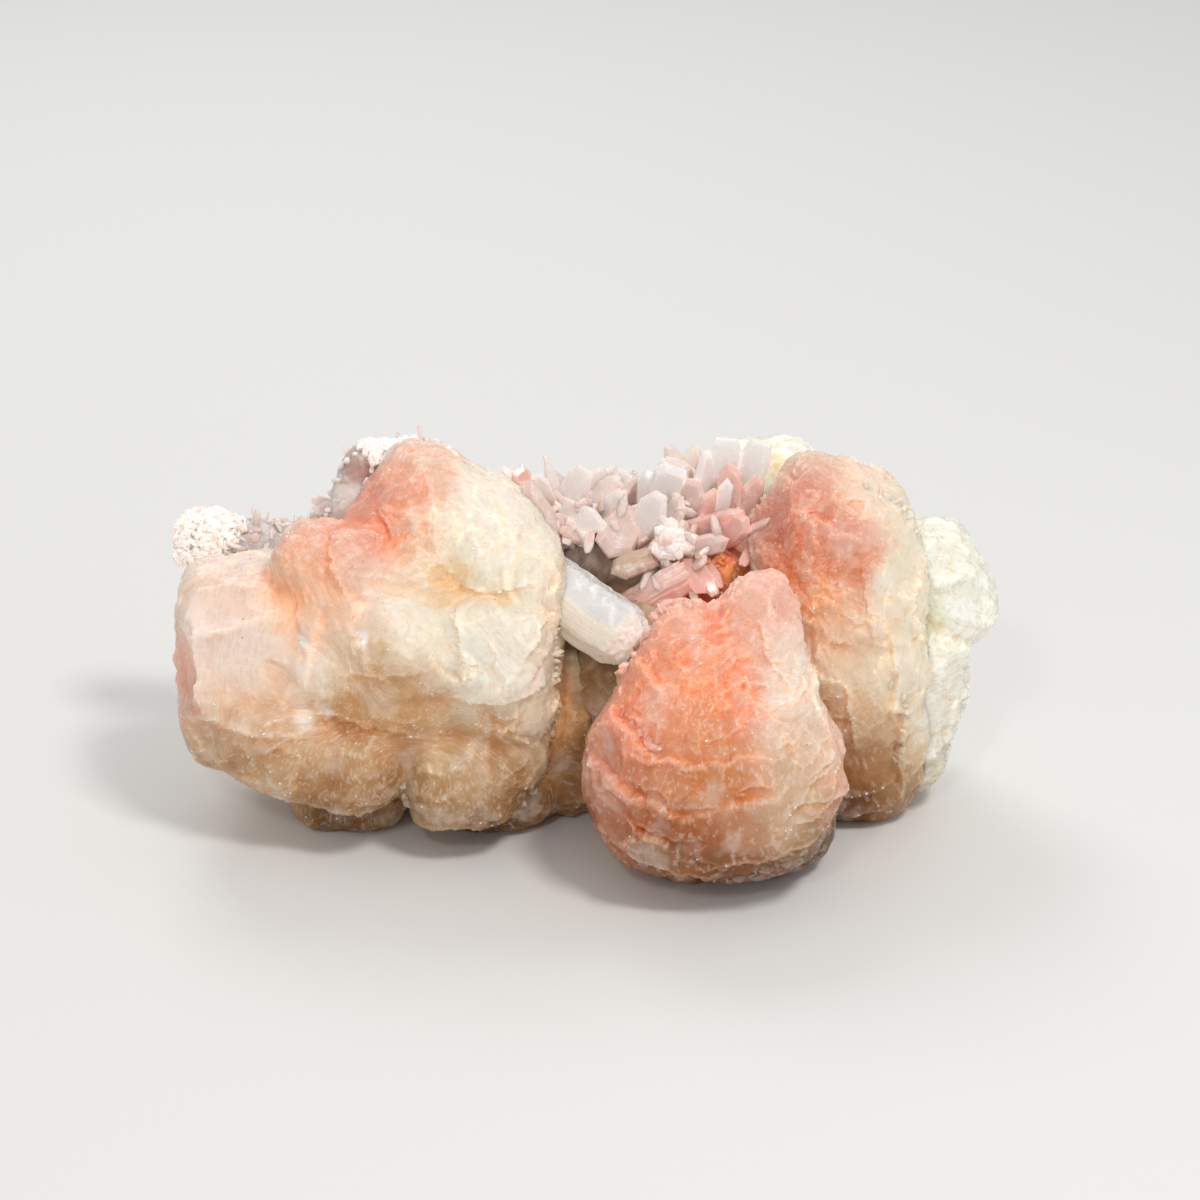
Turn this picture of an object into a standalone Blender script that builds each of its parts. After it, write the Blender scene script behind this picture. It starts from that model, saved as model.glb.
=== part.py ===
"""Stilbite cluster: rounded sheaves grown together, with a crust of small blades between them.

Metres, +Z up. X runs along the cluster and Y away from its show side.
The origin is at the bottom centre, on the surface that the cluster rests on.
"""
import math
import random

import bmesh
import bpy
from mathutils import Euler, Matrix, Vector, noise
from mathutils.bvhtree import BVHTree

MM = 0.001

# Driving dimensions, in millimetres and degrees
CONTACT_GAP = 0.34          # clearance between two pieces that grew against each other
MERGE = 0.001               # corners closer than this after a cut are one
SHEAF_GRAIN = 1.1           # voxel at which the lobes of a sheaf are fused
LUMP_SIZE = 9.0             # spacing of the low swellings on a sheaf
LUMP_HEIGHT = 1.0
LEDGE_STEP = 6.5            # spacing of the growth ledges down a sheaf
LEDGE_HEIGHT = 0.9
LEDGE_WANDER = 3.0          # how far a ledge strays from its arc
LEDGE_SLOPE = 0.75          # share of a ledge that rises; the rest drops back
REST_FLAT = 0.0             # height of the flats that the cluster is broken off at
SHARP_EDGE = 38.0           # edges that turn more than this are left sharp

PRISM_ROOT = (-11.0, 3.5, 45.5)
PRISM_AXIS = (0.78, -0.45, -0.36)
PRISM_LENGTH = 25.5
PRISM_WIDTH = 11.6
PRISM_DEPTH = 9.6
PRISM_CHAMFER = 2.2
PRISM_ROLL = 32.0
PRISM_TIP_LENGTH = 4.0      # the bevelled end, and how far it narrows
PRISM_TIP_SCALE = 0.62

BLADE_SEED = 33
BLADE_COUNT = 56
BLADE_LENGTH = (4.6, 7.6)   # how far a blade stands out of the crust
BLADE_WIDTH = (3.4, 5.6)
BLADE_THICKNESS = (1.7, 2.3)
BLADE_LEAN = 0.6            # how far a blade leans from upright, against its own direction
BLADE_OUTLINE = ((-0.5, -0.35), (-0.5, 0.65), (0.0, 1.0), (0.5, 0.65), (0.5, -0.35))
BLADE_POINT_TAPER = 0.6     # thickness at the point, of the blade's own
CRUST_X = (-10.0, 31.0)     # where the blades stand
CRUST_Y = (4.0, 28.0)
CRUST_Z = (8.0, 48.0)
OUTSIDE = 90.0              # a distance clear of the whole cluster

# A sheaf is a list of lobes. A lobe is the hull of one or more rounded knuckles, each a
# centre, three radii, a turn in degrees, and a squareness: 2 is an ellipsoid, more is blockier.
FLAT = (0, 0, 0)
LEFT_SHEAF = (
    # upper dome, with a blunt ridge towards the show side
    (((-27.5, 9.0, 56.0), (8.0, 9.5, 9.5), (0, 10, 0), 2.6),
     ((-14.5, 7.0, 47.0), (8.5, 11.0, 11.0), (0, 20, 0), 2.6),
     ((-35.0, 7.0, 49.0), (6.0, 8.0, 8.0), FLAT, 2.4),
     ((-26.5, -1.5, 49.5), (5.0, 6.0, 9.0), FLAT, 2.4),
     ((-11.5, 1.0, 41.0), (6.5, 9.0, 5.0), FLAT, 2.6)),
    # the two small domes on its left shoulder
    (((-45.0, -1.0, 47.5), (7.0, 9.0, 8.0), (0, -6, 0), 2.4),),
    (((-37.5, -2.5, 48.5), (6.2, 8.5, 8.0), FLAT, 2.4),),
    # what they grow from
    (((-41.5, -3.0, 40.5), (8.0, 11.0, 10.0), FLAT, 2.4),
     ((-30.0, -6.0, 37.5), (10.0, 13.0, 9.0), FLAT, 2.6)),
    # blocky left lobe, with its flat top and stepped left side
    (((-57.0, 0.5, 32.5), (11.6, 14.5, 13.5), (0, 0, 6), 4.0),
     ((-57.3, -2.5, 20.5), (11.2, 12.0, 9.5), (0, 10, 0), 2.6)),
    (((-51.0, 2.0, 38.0), (9.0, 11.5, 8.0), (0, 0, 0), 3.4),),
    # centre ridge, its right-hand shoulder, and the step below it
    (((-16.0, -6.0, 36.5), (11.5, 12.5, 10.0), (0, 0, -14), 3.2),
     ((-14.0, -5.0, 27.0), (10.0, 12.0, 9.0), (0, 0, -10), 2.8)),
    (((-27.0, -9.0, 36.5), (8.0, 9.5, 8.0), FLAT, 2.4),
     ((-41.0, -7.0, 33.0), (9.0, 9.0, 9.0), FLAT, 2.4)),
    # lower lobes
    (((-20.0, -9.0, 13.5), (11.0, 11.5, 9.5), FLAT, 2.5),
     ((-13.0, -6.0, 17.0), (8.0, 10.0, 8.0), FLAT, 2.4)),
    (((-52.0, -5.0, 20.0), (12.5, 13.0, 10.0), (0, 14, 0), 2.6),
     ((-39.0, -8.0, 16.5), (10.5, 12.0, 9.5), FLAT, 2.5)),
    (((-31.0, -5.0, 22.0), (12.0, 11.0, 10.0), FLAT, 2.3),),
    # underside lobes, which it rests on
    (((-41.0, 1.0, 6.0), (11.0, 11.5, 7.2), (0, 0, 0), 3.0),),
    (((-16.0, 1.5, 6.5), (13.0, 13.0, 8.0), (0, 0, 0), 2.8),),
    # right-hand side, next to the front sheaf
    (((-4.5, 3.5, 10.5), (9.0, 10.5, 11.5), FLAT, 2.6),
     ((-4.5, 6.0, 23.0), (8.0, 10.0, 9.0), FLAT, 2.4)),
    # back of the mass
    (((-30.0, 17.0, 32.0), (17.0, 12.0, 16.0), FLAT, 2.6),
     ((-30.0, 14.0, 14.0), (17.0, 13.0, 13.0), FLAT, 2.6)),
    (((-52.0, 14.0, 22.0), (11.0, 10.0, 15.0), (0, 0, 20), 2.6),),
    (((-13.0, 18.0, 20.0), (12.0, 11.0, 17.0), (0, 0, -15), 2.6),),
)
FRONT_SHEAF = (
    # the body, which narrows upwards to its left crest
    (((21.8, -22.0, 19.5), (21.3, 16.5, 17.3), FLAT, 2.5),
     ((23.0, -17.0, 33.0), (14.5, 13.0, 9.0), FLAT, 2.5),
     ((17.0, -17.5, 42.5), (5.2, 7.0, 5.6), FLAT, 2.6)),
    # right crest, higher than the left one
    (((29.0, -13.5, 44.0), (5.0, 8.0, 7.3), (0, 10, 0), 2.6),
     ((30.0, -17.0, 31.0), (9.0, 11.0, 9.0), FLAT, 2.5)),
    # the smooth foot under its rim
    (((28.5, -16.0, 8.0), (14.8, 12.0, 9.2), FLAT, 2.7),),
    (((19.5, -16.0, 6.0), (13.0, 11.5, 7.2), FLAT, 2.7),),
    # its root, against the matrix
    (((23.0, -7.5, 25.0), (13.0, 10.0, 16.0), FLAT, 2.5),),
)
RIGHT_SHEAF = (
    # the tall upper part, with a flat shoulder to the left
    (((33.5, 5.0, 50.5), (5.3, 7.0, 5.0), (0, -35, 0), 3.0),
     ((39.0, 6.5, 57.0), (5.5, 8.5, 6.3), (0, -35, 0), 3.0),
     ((47.0, 8.0, 54.0), (7.0, 10.0, 7.3), (0, 20, 0), 2.6),
     ((41.0, 4.0, 40.0), (11.0, 12.0, 10.0), FLAT, 2.6),
     ((51.5, 4.0, 42.0), (7.5, 12.0, 9.0), FLAT, 2.8)),
    # the body below, down to its base
    (((45.5, 3.5, 28.0), (14.0, 14.5, 14.0), FLAT, 2.6),
     ((46.0, 4.5, 12.0), (14.0, 14.5, 13.0), FLAT, 2.8)),
    # back of the sheaf
    (((43.0, 15.0, 46.0), (11.0, 11.0, 12.0), FLAT, 2.5),
     ((42.0, 18.0, 20.0), (14.0, 11.0, 18.0), FLAT, 2.6)),
)
FAN_SHEAF = (
    (((60.0, 12.0, 44.0), (6.0, 9.0, 6.0), FLAT, 2.5),
     ((67.0, 11.0, 36.5), (4.6, 8.5, 5.8), FLAT, 2.6),
     ((57.0, 11.0, 34.0), (8.0, 10.0, 9.0), FLAT, 2.5)),
    (((59.0, 9.0, 26.0), (7.5, 11.0, 9.0), FLAT, 2.6),
     ((55.5, 8.0, 13.5), (8.8, 12.5, 11.5), FLAT, 2.6)),
    (((56.0, 17.0, 24.0), (8.5, 10.0, 18.0), (0, 0, -20), 2.6),),
)
BACK_SHEAF = (
    (((27.5, 25.0, 51.0), (7.5, 8.0, 8.0), FLAT, 2.5),
     ((34.5, 26.0, 50.5), (7.5, 8.0, 8.0), FLAT, 2.6),
     ((31.5, 26.5, 37.0), (9.0, 8.5, 11.0), FLAT, 2.5)),
)
MATRIX = (
    (((-1.0, 17.0, 42.0), (10.0, 11.0, 8.5), FLAT, 2.5),
     ((22.0, 15.0, 41.5), (10.0, 12.0, 8.5), FLAT, 2.5)),
    (((10.0, 22.0, 21.0), (19.0, 11.5, 18.5), FLAT, 2.5),),
    (((19.0, 22.0, 46.0), (7.0, 8.0, 8.0), FLAT, 2.4),),
    (((10.0, 3.0, 25.0), (12.0, 10.0, 15.0), FLAT, 2.4),),
)
KNOB = (
    (((-66.5, 22.0, 41.5), (5.4, 5.4, 5.6), FLAT, 2.3),),
    (((-64.0, 22.0, 41.0), (5.0, 4.6, 4.4), FLAT, 2.6),
     ((-50.5, 19.5, 40.0), (5.4, 5.0, 5.2), FLAT, 3.0)),
)
DRUSE = (
    (((-34.5, 17.5, 57.0), (6.0, 5.2, 5.4), FLAT, 2.5),
     ((-39.5, 16.5, 50.5), (4.8, 5.0, 5.5), FLAT, 2.5)),
    (((-31.0, 19.5, 53.0), (6.0, 6.0, 8.5), FLAT, 2.4),),
    (((-38.0, 21.5, 45.0), (8.0, 6.5, 7.0), FLAT, 2.4),),
)


def knuckle_points(centre, radii, turn, squareness, detail=3):
    """Points on one rounded knuckle, a sphere drawn out towards a block."""
    ball = bmesh.new()
    bmesh.ops.create_icosphere(ball, subdivisions=detail, radius=1.0)
    spin = Euler([math.radians(angle) for angle in turn]).to_matrix()
    points = []
    for vert in ball.verts:
        size = sum(abs(part) ** squareness for part in vert.co) ** (1.0 / squareness)
        point = Vector([part / size * radius for part, radius in zip(vert.co, radii)])
        points.append((spin @ point + Vector(centre)) * MM)
    ball.free()
    return points


def add_hull(mesh, points):
    """Add the closed hull of some points to a bmesh."""
    verts = [mesh.verts.new(point) for point in points]
    made = bmesh.ops.convex_hull(mesh, input=verts)
    spare = [item for item in made["geom_interior"] + made["geom_unused"]
             if isinstance(item, bmesh.types.BMVert)]
    bmesh.ops.delete(mesh, geom=list(set(spare)), context="VERTS")


def lobed_mesh(lobes):
    mesh = bmesh.new()
    for lobe in lobes:
        points = [point for knuckle in lobe for point in knuckle_points(*knuckle)]
        add_hull(mesh, points)
    bmesh.ops.recalc_face_normals(mesh, faces=mesh.faces)
    return mesh


def new_object(name, mesh):
    """Make an object of a bmesh, and free the bmesh."""
    data = bpy.data.meshes.new(name)
    mesh.to_mesh(data)
    mesh.free()
    obj = bpy.data.objects.new(name, data)
    bpy.context.collection.objects.link(obj)
    return obj


def settle(obj):
    """Take what the modifiers make as the object's own mesh."""
    graph = bpy.context.evaluated_depsgraph_get()
    graph.update()
    made = bpy.data.meshes.new_from_object(obj.evaluated_get(graph))
    obj.modifiers.clear()
    obj.data = made


def fuse(obj, smoothing):
    """Fuse overlapping lobes into one skin and soften the creases between them."""
    remesh = obj.modifiers.new("fuse", "REMESH")
    remesh.mode = "VOXEL"
    remesh.voxel_size = SHEAF_GRAIN * MM
    soften = obj.modifiers.new("soften", "SMOOTH")
    soften.iterations = smoothing
    soften.factor = 0.5
    settle(obj)


def roughen(obj, root, lumps, ledges, seed):
    """Swell the skin in low lumps, and step it in ledges that run round the sheaf's root."""
    data = obj.data
    shift = Vector((seed * 17.3, seed * 5.9, seed * 11.1))
    centre = Vector(root)
    moved = []
    for vert in data.vertices:
        place = vert.co / MM
        swell = noise.noise(place / LUMP_SIZE + shift)
        wander = LEDGE_WANDER * noise.noise(place / (2.0 * LUMP_SIZE) - shift)
        reach = ((place - centre).length + wander) / LEDGE_STEP
        ramp = reach - math.floor(reach)
        tread = min(ramp / LEDGE_SLOPE, (1.0 - ramp) / (1.0 - LEDGE_SLOPE)) - 0.5
        moved.append(vert.co + vert.normal * MM * (lumps * swell + ledges * tread))
    for vert, co in zip(data.vertices, moved):
        vert.co = co


def thin_out(obj, triangles):
    """Bring the skin down to a number of triangles, kept where it bends most."""
    decimate = obj.modifiers.new("thin out", "DECIMATE")
    decimate.ratio = triangles / (2.0 * len(obj.data.polygons))
    decimate.use_collapse_triangulate = True
    settle(obj)


def rest_flat(obj):
    """Cut the piece off flat at the surface that it rests on."""
    mesh = bmesh.new()
    mesh.from_mesh(obj.data)
    cut = bmesh.ops.bisect_plane(mesh, geom=mesh.verts[:] + mesh.edges[:] + mesh.faces[:],
                                 plane_co=(0, 0, REST_FLAT * MM), plane_no=(0, 0, -1),
                                 clear_outer=True)
    rim = [item for item in cut["geom_cut"] if isinstance(item, bmesh.types.BMEdge)]
    if rim:
        bmesh.ops.holes_fill(mesh, edges=rim, sides=0)
        bmesh.ops.recalc_face_normals(mesh, faces=mesh.faces)
    mesh.to_mesh(obj.data)
    mesh.free()


def keep_largest(obj):
    """Drop the small chips that a cut leaves loose."""
    mesh = bmesh.new()
    mesh.from_mesh(obj.data)
    bmesh.ops.remove_doubles(mesh, verts=mesh.verts, dist=MERGE * MM)
    left = set(mesh.verts)
    islands = []
    while left:
        queue = [left.pop()]
        island = list(queue)
        while queue:
            for edge in queue.pop().link_edges:
                for vert in edge.verts:
                    if vert in left:
                        left.remove(vert)
                        queue.append(vert)
                        island.append(vert)
        islands.append(island)
    islands.sort(key=len)
    chips = [vert for island in islands[:-1] for vert in island]
    bmesh.ops.delete(mesh, geom=chips, context="VERTS")
    mesh.to_mesh(obj.data)
    mesh.free()


def cut_back(obj, neighbours):
    """Cut a piece back from the neighbours that it grew against, with the contact gap."""
    for neighbour in neighbours:
        cutter = bpy.data.objects.new("cutter", neighbour.data.copy())
        bpy.context.collection.objects.link(cutter)
        cutter.hide_render = True
        cutter.display_type = "WIRE"
        swell = cutter.modifiers.new("gap", "DISPLACE")
        swell.strength = CONTACT_GAP * MM
        swell.mid_level = 0.0
        settle(cutter)
        cut = obj.modifiers.new("cut", "BOOLEAN")
        cut.operation = "DIFFERENCE"
        cut.object = cutter
        cut.use_self = True
        settle(obj)
        bpy.data.objects.remove(cutter)
        keep_largest(obj)


def finish(obj, colour, roughness, smooth=True):
    """Give a piece its own material, and shade its rounded stretches smooth."""
    material = bpy.data.materials.new(obj.name)
    material.use_nodes = True
    shader = material.node_tree.nodes["Principled BSDF"]
    shader.inputs["Base Color"].default_value = (*colour, 1.0)
    shader.inputs["Roughness"].default_value = roughness
    shader.inputs["Metallic"].default_value = 0.0
    obj.data.materials.clear()
    obj.data.materials.append(material)
    if smooth:
        obj.data.shade_smooth()
        obj.data.set_sharp_from_angle(angle=math.radians(SHARP_EDGE))


def sheaf(name, lobes, root, triangles, seed, lumps=LUMP_HEIGHT, ledges=LEDGE_HEIGHT):
    """One sheaf: fused lobes, swollen and ledged, on its flat."""
    obj = new_object(name, lobed_mesh(lobes))
    fuse(obj, 2)
    roughen(obj, root, lumps, ledges, seed)
    thin_out(obj, triangles)
    rest_flat(obj)
    return obj


def blade_points(foot, out, side, length, width, thickness):
    """Corners of one flat blade: straight edges and a pointed end."""
    out = out.normalized()
    side = (side - out * side.dot(out)).normalized()
    face = out.cross(side)
    points = []
    for across, along in BLADE_OUTLINE:
        taper = BLADE_POINT_TAPER if along == 1.0 else 1.0
        for level in (-0.5, 0.5):
            points.append((foot + side * across * width + out * along * length
                           + face * level * thickness * taper) * MM)
    return points


def crust_blades(matrix):
    """Small blades standing on the matrix and leaning every way."""
    rng = random.Random(BLADE_SEED)
    skin = bmesh.new()
    skin.from_mesh(matrix.data)
    tree = BVHTree.FromBMesh(skin)
    skin.free()
    mesh = bmesh.new()
    placed = 0
    while placed < BLADE_COUNT:
        x = rng.uniform(*CRUST_X)
        if placed % 4 == 3:
            start = Vector((x, OUTSIDE, rng.uniform(*CRUST_Z)))
            way = Vector((0, -1, 0))
        else:
            start = Vector((x, rng.uniform(*CRUST_Y), OUTSIDE))
            way = Vector((0, 0, -1))
        hit, normal, _, _ = tree.ray_cast(start * MM, way)
        if hit is None:
            continue
        lean = Vector([rng.uniform(-BLADE_LEAN, BLADE_LEAN) for _ in range(3)])
        side = Vector([rng.uniform(-1.0, 1.0) for _ in range(3)])
        add_hull(mesh, blade_points(hit / MM, normal + lean, side, rng.uniform(*BLADE_LENGTH),
                                    rng.uniform(*BLADE_WIDTH), rng.uniform(*BLADE_THICKNESS)))
        placed += 1
    bmesh.ops.recalc_face_normals(mesh, faces=mesh.faces)
    return new_object("blades", mesh)


def blade_crust(triangles):
    """The matrix with its blades fused on, so that every blade keeps its flat faces."""
    obj = new_object("blade_crust", lobed_mesh(MATRIX))
    fuse(obj, 1)
    thin_out(obj, triangles)
    blades = crust_blades(obj)
    blades.hide_render = True
    join = obj.modifiers.new("join", "BOOLEAN")
    join.operation = "UNION"
    join.object = blades
    join.use_self = True
    settle(obj)
    bpy.data.objects.remove(blades)
    keep_largest(obj)
    return obj


def prism():
    """The single thick crystal: an eight-sided bar with a blunt, bevelled end."""
    axis = Vector(PRISM_AXIS).normalized()
    side = axis.cross(Vector((0.0, 0.15, 1.0))).normalized()
    face = side.cross(axis)
    turned = Matrix.Rotation(math.radians(PRISM_ROLL), 3, axis)
    side = turned @ side
    face = turned @ face
    half_width = PRISM_WIDTH / 2
    half_depth = PRISM_DEPTH / 2
    section = []
    for across, up in ((-1, -1), (1, -1), (1, 1), (-1, 1)):
        first = (across * half_width, up * (half_depth - PRISM_CHAMFER))
        second = (across * (half_width - PRISM_CHAMFER), up * half_depth)
        section += [first, second] if across * up > 0 else [second, first]
    points = []
    rings = ((0.0, 1.0), (PRISM_LENGTH - PRISM_TIP_LENGTH, 1.0), (PRISM_LENGTH, PRISM_TIP_SCALE))
    for along, scale in rings:
        for across, up in section:
            points.append((Vector(PRISM_ROOT) + axis * along + side * across * scale
                           + face * up * scale) * MM)
    mesh = bmesh.new()
    add_hull(mesh, points)
    bmesh.ops.recalc_face_normals(mesh, faces=mesh.faces)
    bmesh.ops.triangulate(mesh, faces=mesh.faces)
    return new_object("prism_crystal", mesh)


for leftover in list(bpy.data.objects):
    bpy.data.objects.remove(leftover)

left = sheaf("left_sheaf_mass", LEFT_SHEAF, (-28.0, 6.0, 24.0), 2050, 1)
front = sheaf("front_sheaf", FRONT_SHEAF, (24.0, -14.0, 36.0), 1000, 2)
right = sheaf("right_sheaf", RIGHT_SHEAF, (46.0, 8.0, 34.0), 950, 3)
fan = sheaf("far_right_fan", FAN_SHEAF, (54.0, 10.0, 34.0), 600, 4)
back = sheaf("back_sheaf", BACK_SHEAF, (30.0, 22.0, 36.0), 340, 5)
knob = sheaf("left_druse_knob", KNOB, (-56.0, 20.0, 40.0), 220, 6, lumps=1.0, ledges=0.2)
druse = sheaf("top_druse", DRUSE, (-34.0, 16.0, 46.0), 320, 7, lumps=2.0, ledges=0.5)
bar = prism()
crust = blade_crust(280)

# each piece is cut back from the ones that grew before it
cut_back(left, [front])
cut_back(right, [front])
cut_back(fan, [right])
cut_back(back, [right])
cut_back(bar, [left])
cut_back(druse, [left])
cut_back(knob, [left, druse])
cut_back(crust, [left, front, right, back, bar])

finish(left, (0.82, 0.58, 0.42), 0.42)
finish(front, (0.83, 0.50, 0.36), 0.42)
finish(right, (0.79, 0.52, 0.38), 0.42)
finish(fan, (0.78, 0.80, 0.68), 0.38)
finish(back, (0.74, 0.75, 0.68), 0.38)
finish(bar, (0.80, 0.78, 0.76), 0.30, smooth=False)
finish(crust, (0.76, 0.62, 0.58), 0.35, smooth=False)
finish(knob, (0.80, 0.77, 0.78), 0.45)
finish(druse, (0.68, 0.63, 0.62), 0.45)
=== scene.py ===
import math
from itertools import product

import bmesh
import bpy
import numpy as np
from mathutils import Euler, Matrix, Vector, noise
from mathutils.kdtree import KDTree


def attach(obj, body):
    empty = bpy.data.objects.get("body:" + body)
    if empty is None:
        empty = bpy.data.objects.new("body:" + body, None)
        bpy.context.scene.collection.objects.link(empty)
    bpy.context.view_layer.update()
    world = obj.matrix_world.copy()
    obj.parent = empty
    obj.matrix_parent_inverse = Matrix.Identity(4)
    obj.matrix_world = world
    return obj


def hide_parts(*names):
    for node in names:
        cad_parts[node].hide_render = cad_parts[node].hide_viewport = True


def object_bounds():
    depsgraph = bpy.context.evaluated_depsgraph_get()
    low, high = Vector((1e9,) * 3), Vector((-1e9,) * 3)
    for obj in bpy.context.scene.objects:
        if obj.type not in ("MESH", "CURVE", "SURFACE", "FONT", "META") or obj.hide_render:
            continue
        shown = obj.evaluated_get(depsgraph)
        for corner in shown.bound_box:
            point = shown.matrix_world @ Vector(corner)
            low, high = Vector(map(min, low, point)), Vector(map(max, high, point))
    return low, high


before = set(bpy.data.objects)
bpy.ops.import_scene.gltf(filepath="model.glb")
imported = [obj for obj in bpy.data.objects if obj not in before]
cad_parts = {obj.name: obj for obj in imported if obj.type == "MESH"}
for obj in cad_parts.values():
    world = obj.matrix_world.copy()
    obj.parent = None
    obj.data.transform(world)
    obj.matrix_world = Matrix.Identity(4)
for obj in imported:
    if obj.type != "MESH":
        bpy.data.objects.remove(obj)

CAD_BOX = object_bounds()
MM = 0.001

# The studio. A pale floor and a large soft window on the upper right, as in the photograph,
# and a camera that looks down on the specimen at the photograph's angle.
LOOK_AT = Vector((2.9, 0.0, 40.9)) * MM
LOOK_DOWN = math.radians(26.0)
CAMERA_DISTANCE = 550 * MM
PICTURE_WIDTH = 204 * MM            # what the picture spans at the point looked at
TO_VIEWER = Vector((0, -math.cos(LOOK_DOWN), math.sin(LOOK_DOWN)))


def studio_camera():
    data = bpy.data.cameras.new("camera")
    data.sensor_width = 36.0
    data.lens = data.sensor_width * CAMERA_DISTANCE / PICTURE_WIDTH
    data.clip_start = 0.01
    camera = bpy.data.objects.new("camera", data)
    camera.location = LOOK_AT + TO_VIEWER * CAMERA_DISTANCE
    camera.rotation_euler = (-TO_VIEWER).to_track_quat("-Z", "Y").to_euler()
    bpy.context.collection.objects.link(camera)
    bpy.context.scene.camera = camera


def soft_light(name, place, size, watts, colour):
    data = bpy.data.lights.new(name, "AREA")
    data.shape = "SQUARE"
    data.size = size
    data.energy = watts
    data.color = colour
    light = bpy.data.objects.new(name, data)
    light.location = place
    light.rotation_euler = (LOOK_AT - Vector(place)).to_track_quat("-Z", "Y").to_euler()
    bpy.context.collection.objects.link(light)


def pale_floor():
    mesh = bmesh.new()
    bmesh.ops.create_grid(mesh, x_segments=1, y_segments=1, size=3.0)
    data = bpy.data.meshes.new("floor")
    mesh.to_mesh(data)
    mesh.free()
    floor = bpy.data.objects.new("floor", data)
    bpy.context.collection.objects.link(floor)
    material = bpy.data.materials.new("matt pale paper")
    material.use_nodes = True
    shader = material.node_tree.nodes["Principled BSDF"]
    shader.inputs["Base Color"].default_value = (0.84, 0.84, 0.83, 1)
    shader.inputs["Roughness"].default_value = 0.9
    floor.data.materials.append(material)


def studio_sky(colour, strength):
    world = bpy.data.worlds.new("soft sky")
    world.use_nodes = True
    world.node_tree.nodes["Background"].inputs["Color"].default_value = (*colour, 1)
    world.node_tree.nodes["Background"].inputs["Strength"].default_value = strength
    bpy.context.scene.world = world


studio_camera()
pale_floor()
studio_sky((1.0, 1.0, 1.0), 0.50)
soft_light("window", (0.30, -0.34, 0.74), 0.16, 2.6, (1.0, 0.98, 0.95))
soft_light("glint", (-0.14, -0.55, 0.52), 0.07, 0.52, (1.0, 0.99, 0.97))
soft_light("back glow", (-0.18, 0.48, 0.58), 0.30, 1.3, (1.0, 0.99, 0.97))
bpy.context.scene.view_settings.view_transform = "Standard"


# Left sheaf mass. Stilbite grows as sheaves of thin plates that fan out from one root, so
# a surface is the worn ends of the plates: low swellings, growth ledges that run round the
# root in arcs, and a scalloped edge where the plates stand free.
FLAT = (0, 0, 0)
CAD_LUMP = 9.0                      # the solid's own swellings and ledges, in millimetres
CAD_LEDGE_STEP = 6.5
CAD_LEDGE_WANDER = 3.0
CAD_LEDGE_SLOPE = 0.75
PLATE_RADIUS = 15.0                 # distance from the root at which plate widths are true
ROOT_BLENDING = 50                  # rounds in which neighbouring lobes' roots even out
CRISP_ANGLE = 30                    # plate edges that turn more than this stay sharp
LEDGE_SPACING = 4.6                 # growth between two ledges, and how high a ledge is
LEDGE_HEIGHT = 0.78
FINE_LEDGE_SPACING = 1.5
FINE_LEDGE_HEIGHT = 0.24
BUNDLE_WIDTH = 3.4                  # plates that end at one slant, and how far they slant
BUNDLE_SLANT = 0.60
PLATE_WIDTH = 1.1                   # one plate's end
PLATE_SLANT = 0.22
BOX_MARGIN = 0.02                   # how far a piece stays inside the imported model's box
BELOW_FLOOR = -3.0                  # lowest place before a piece is cut off at the floor

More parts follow.
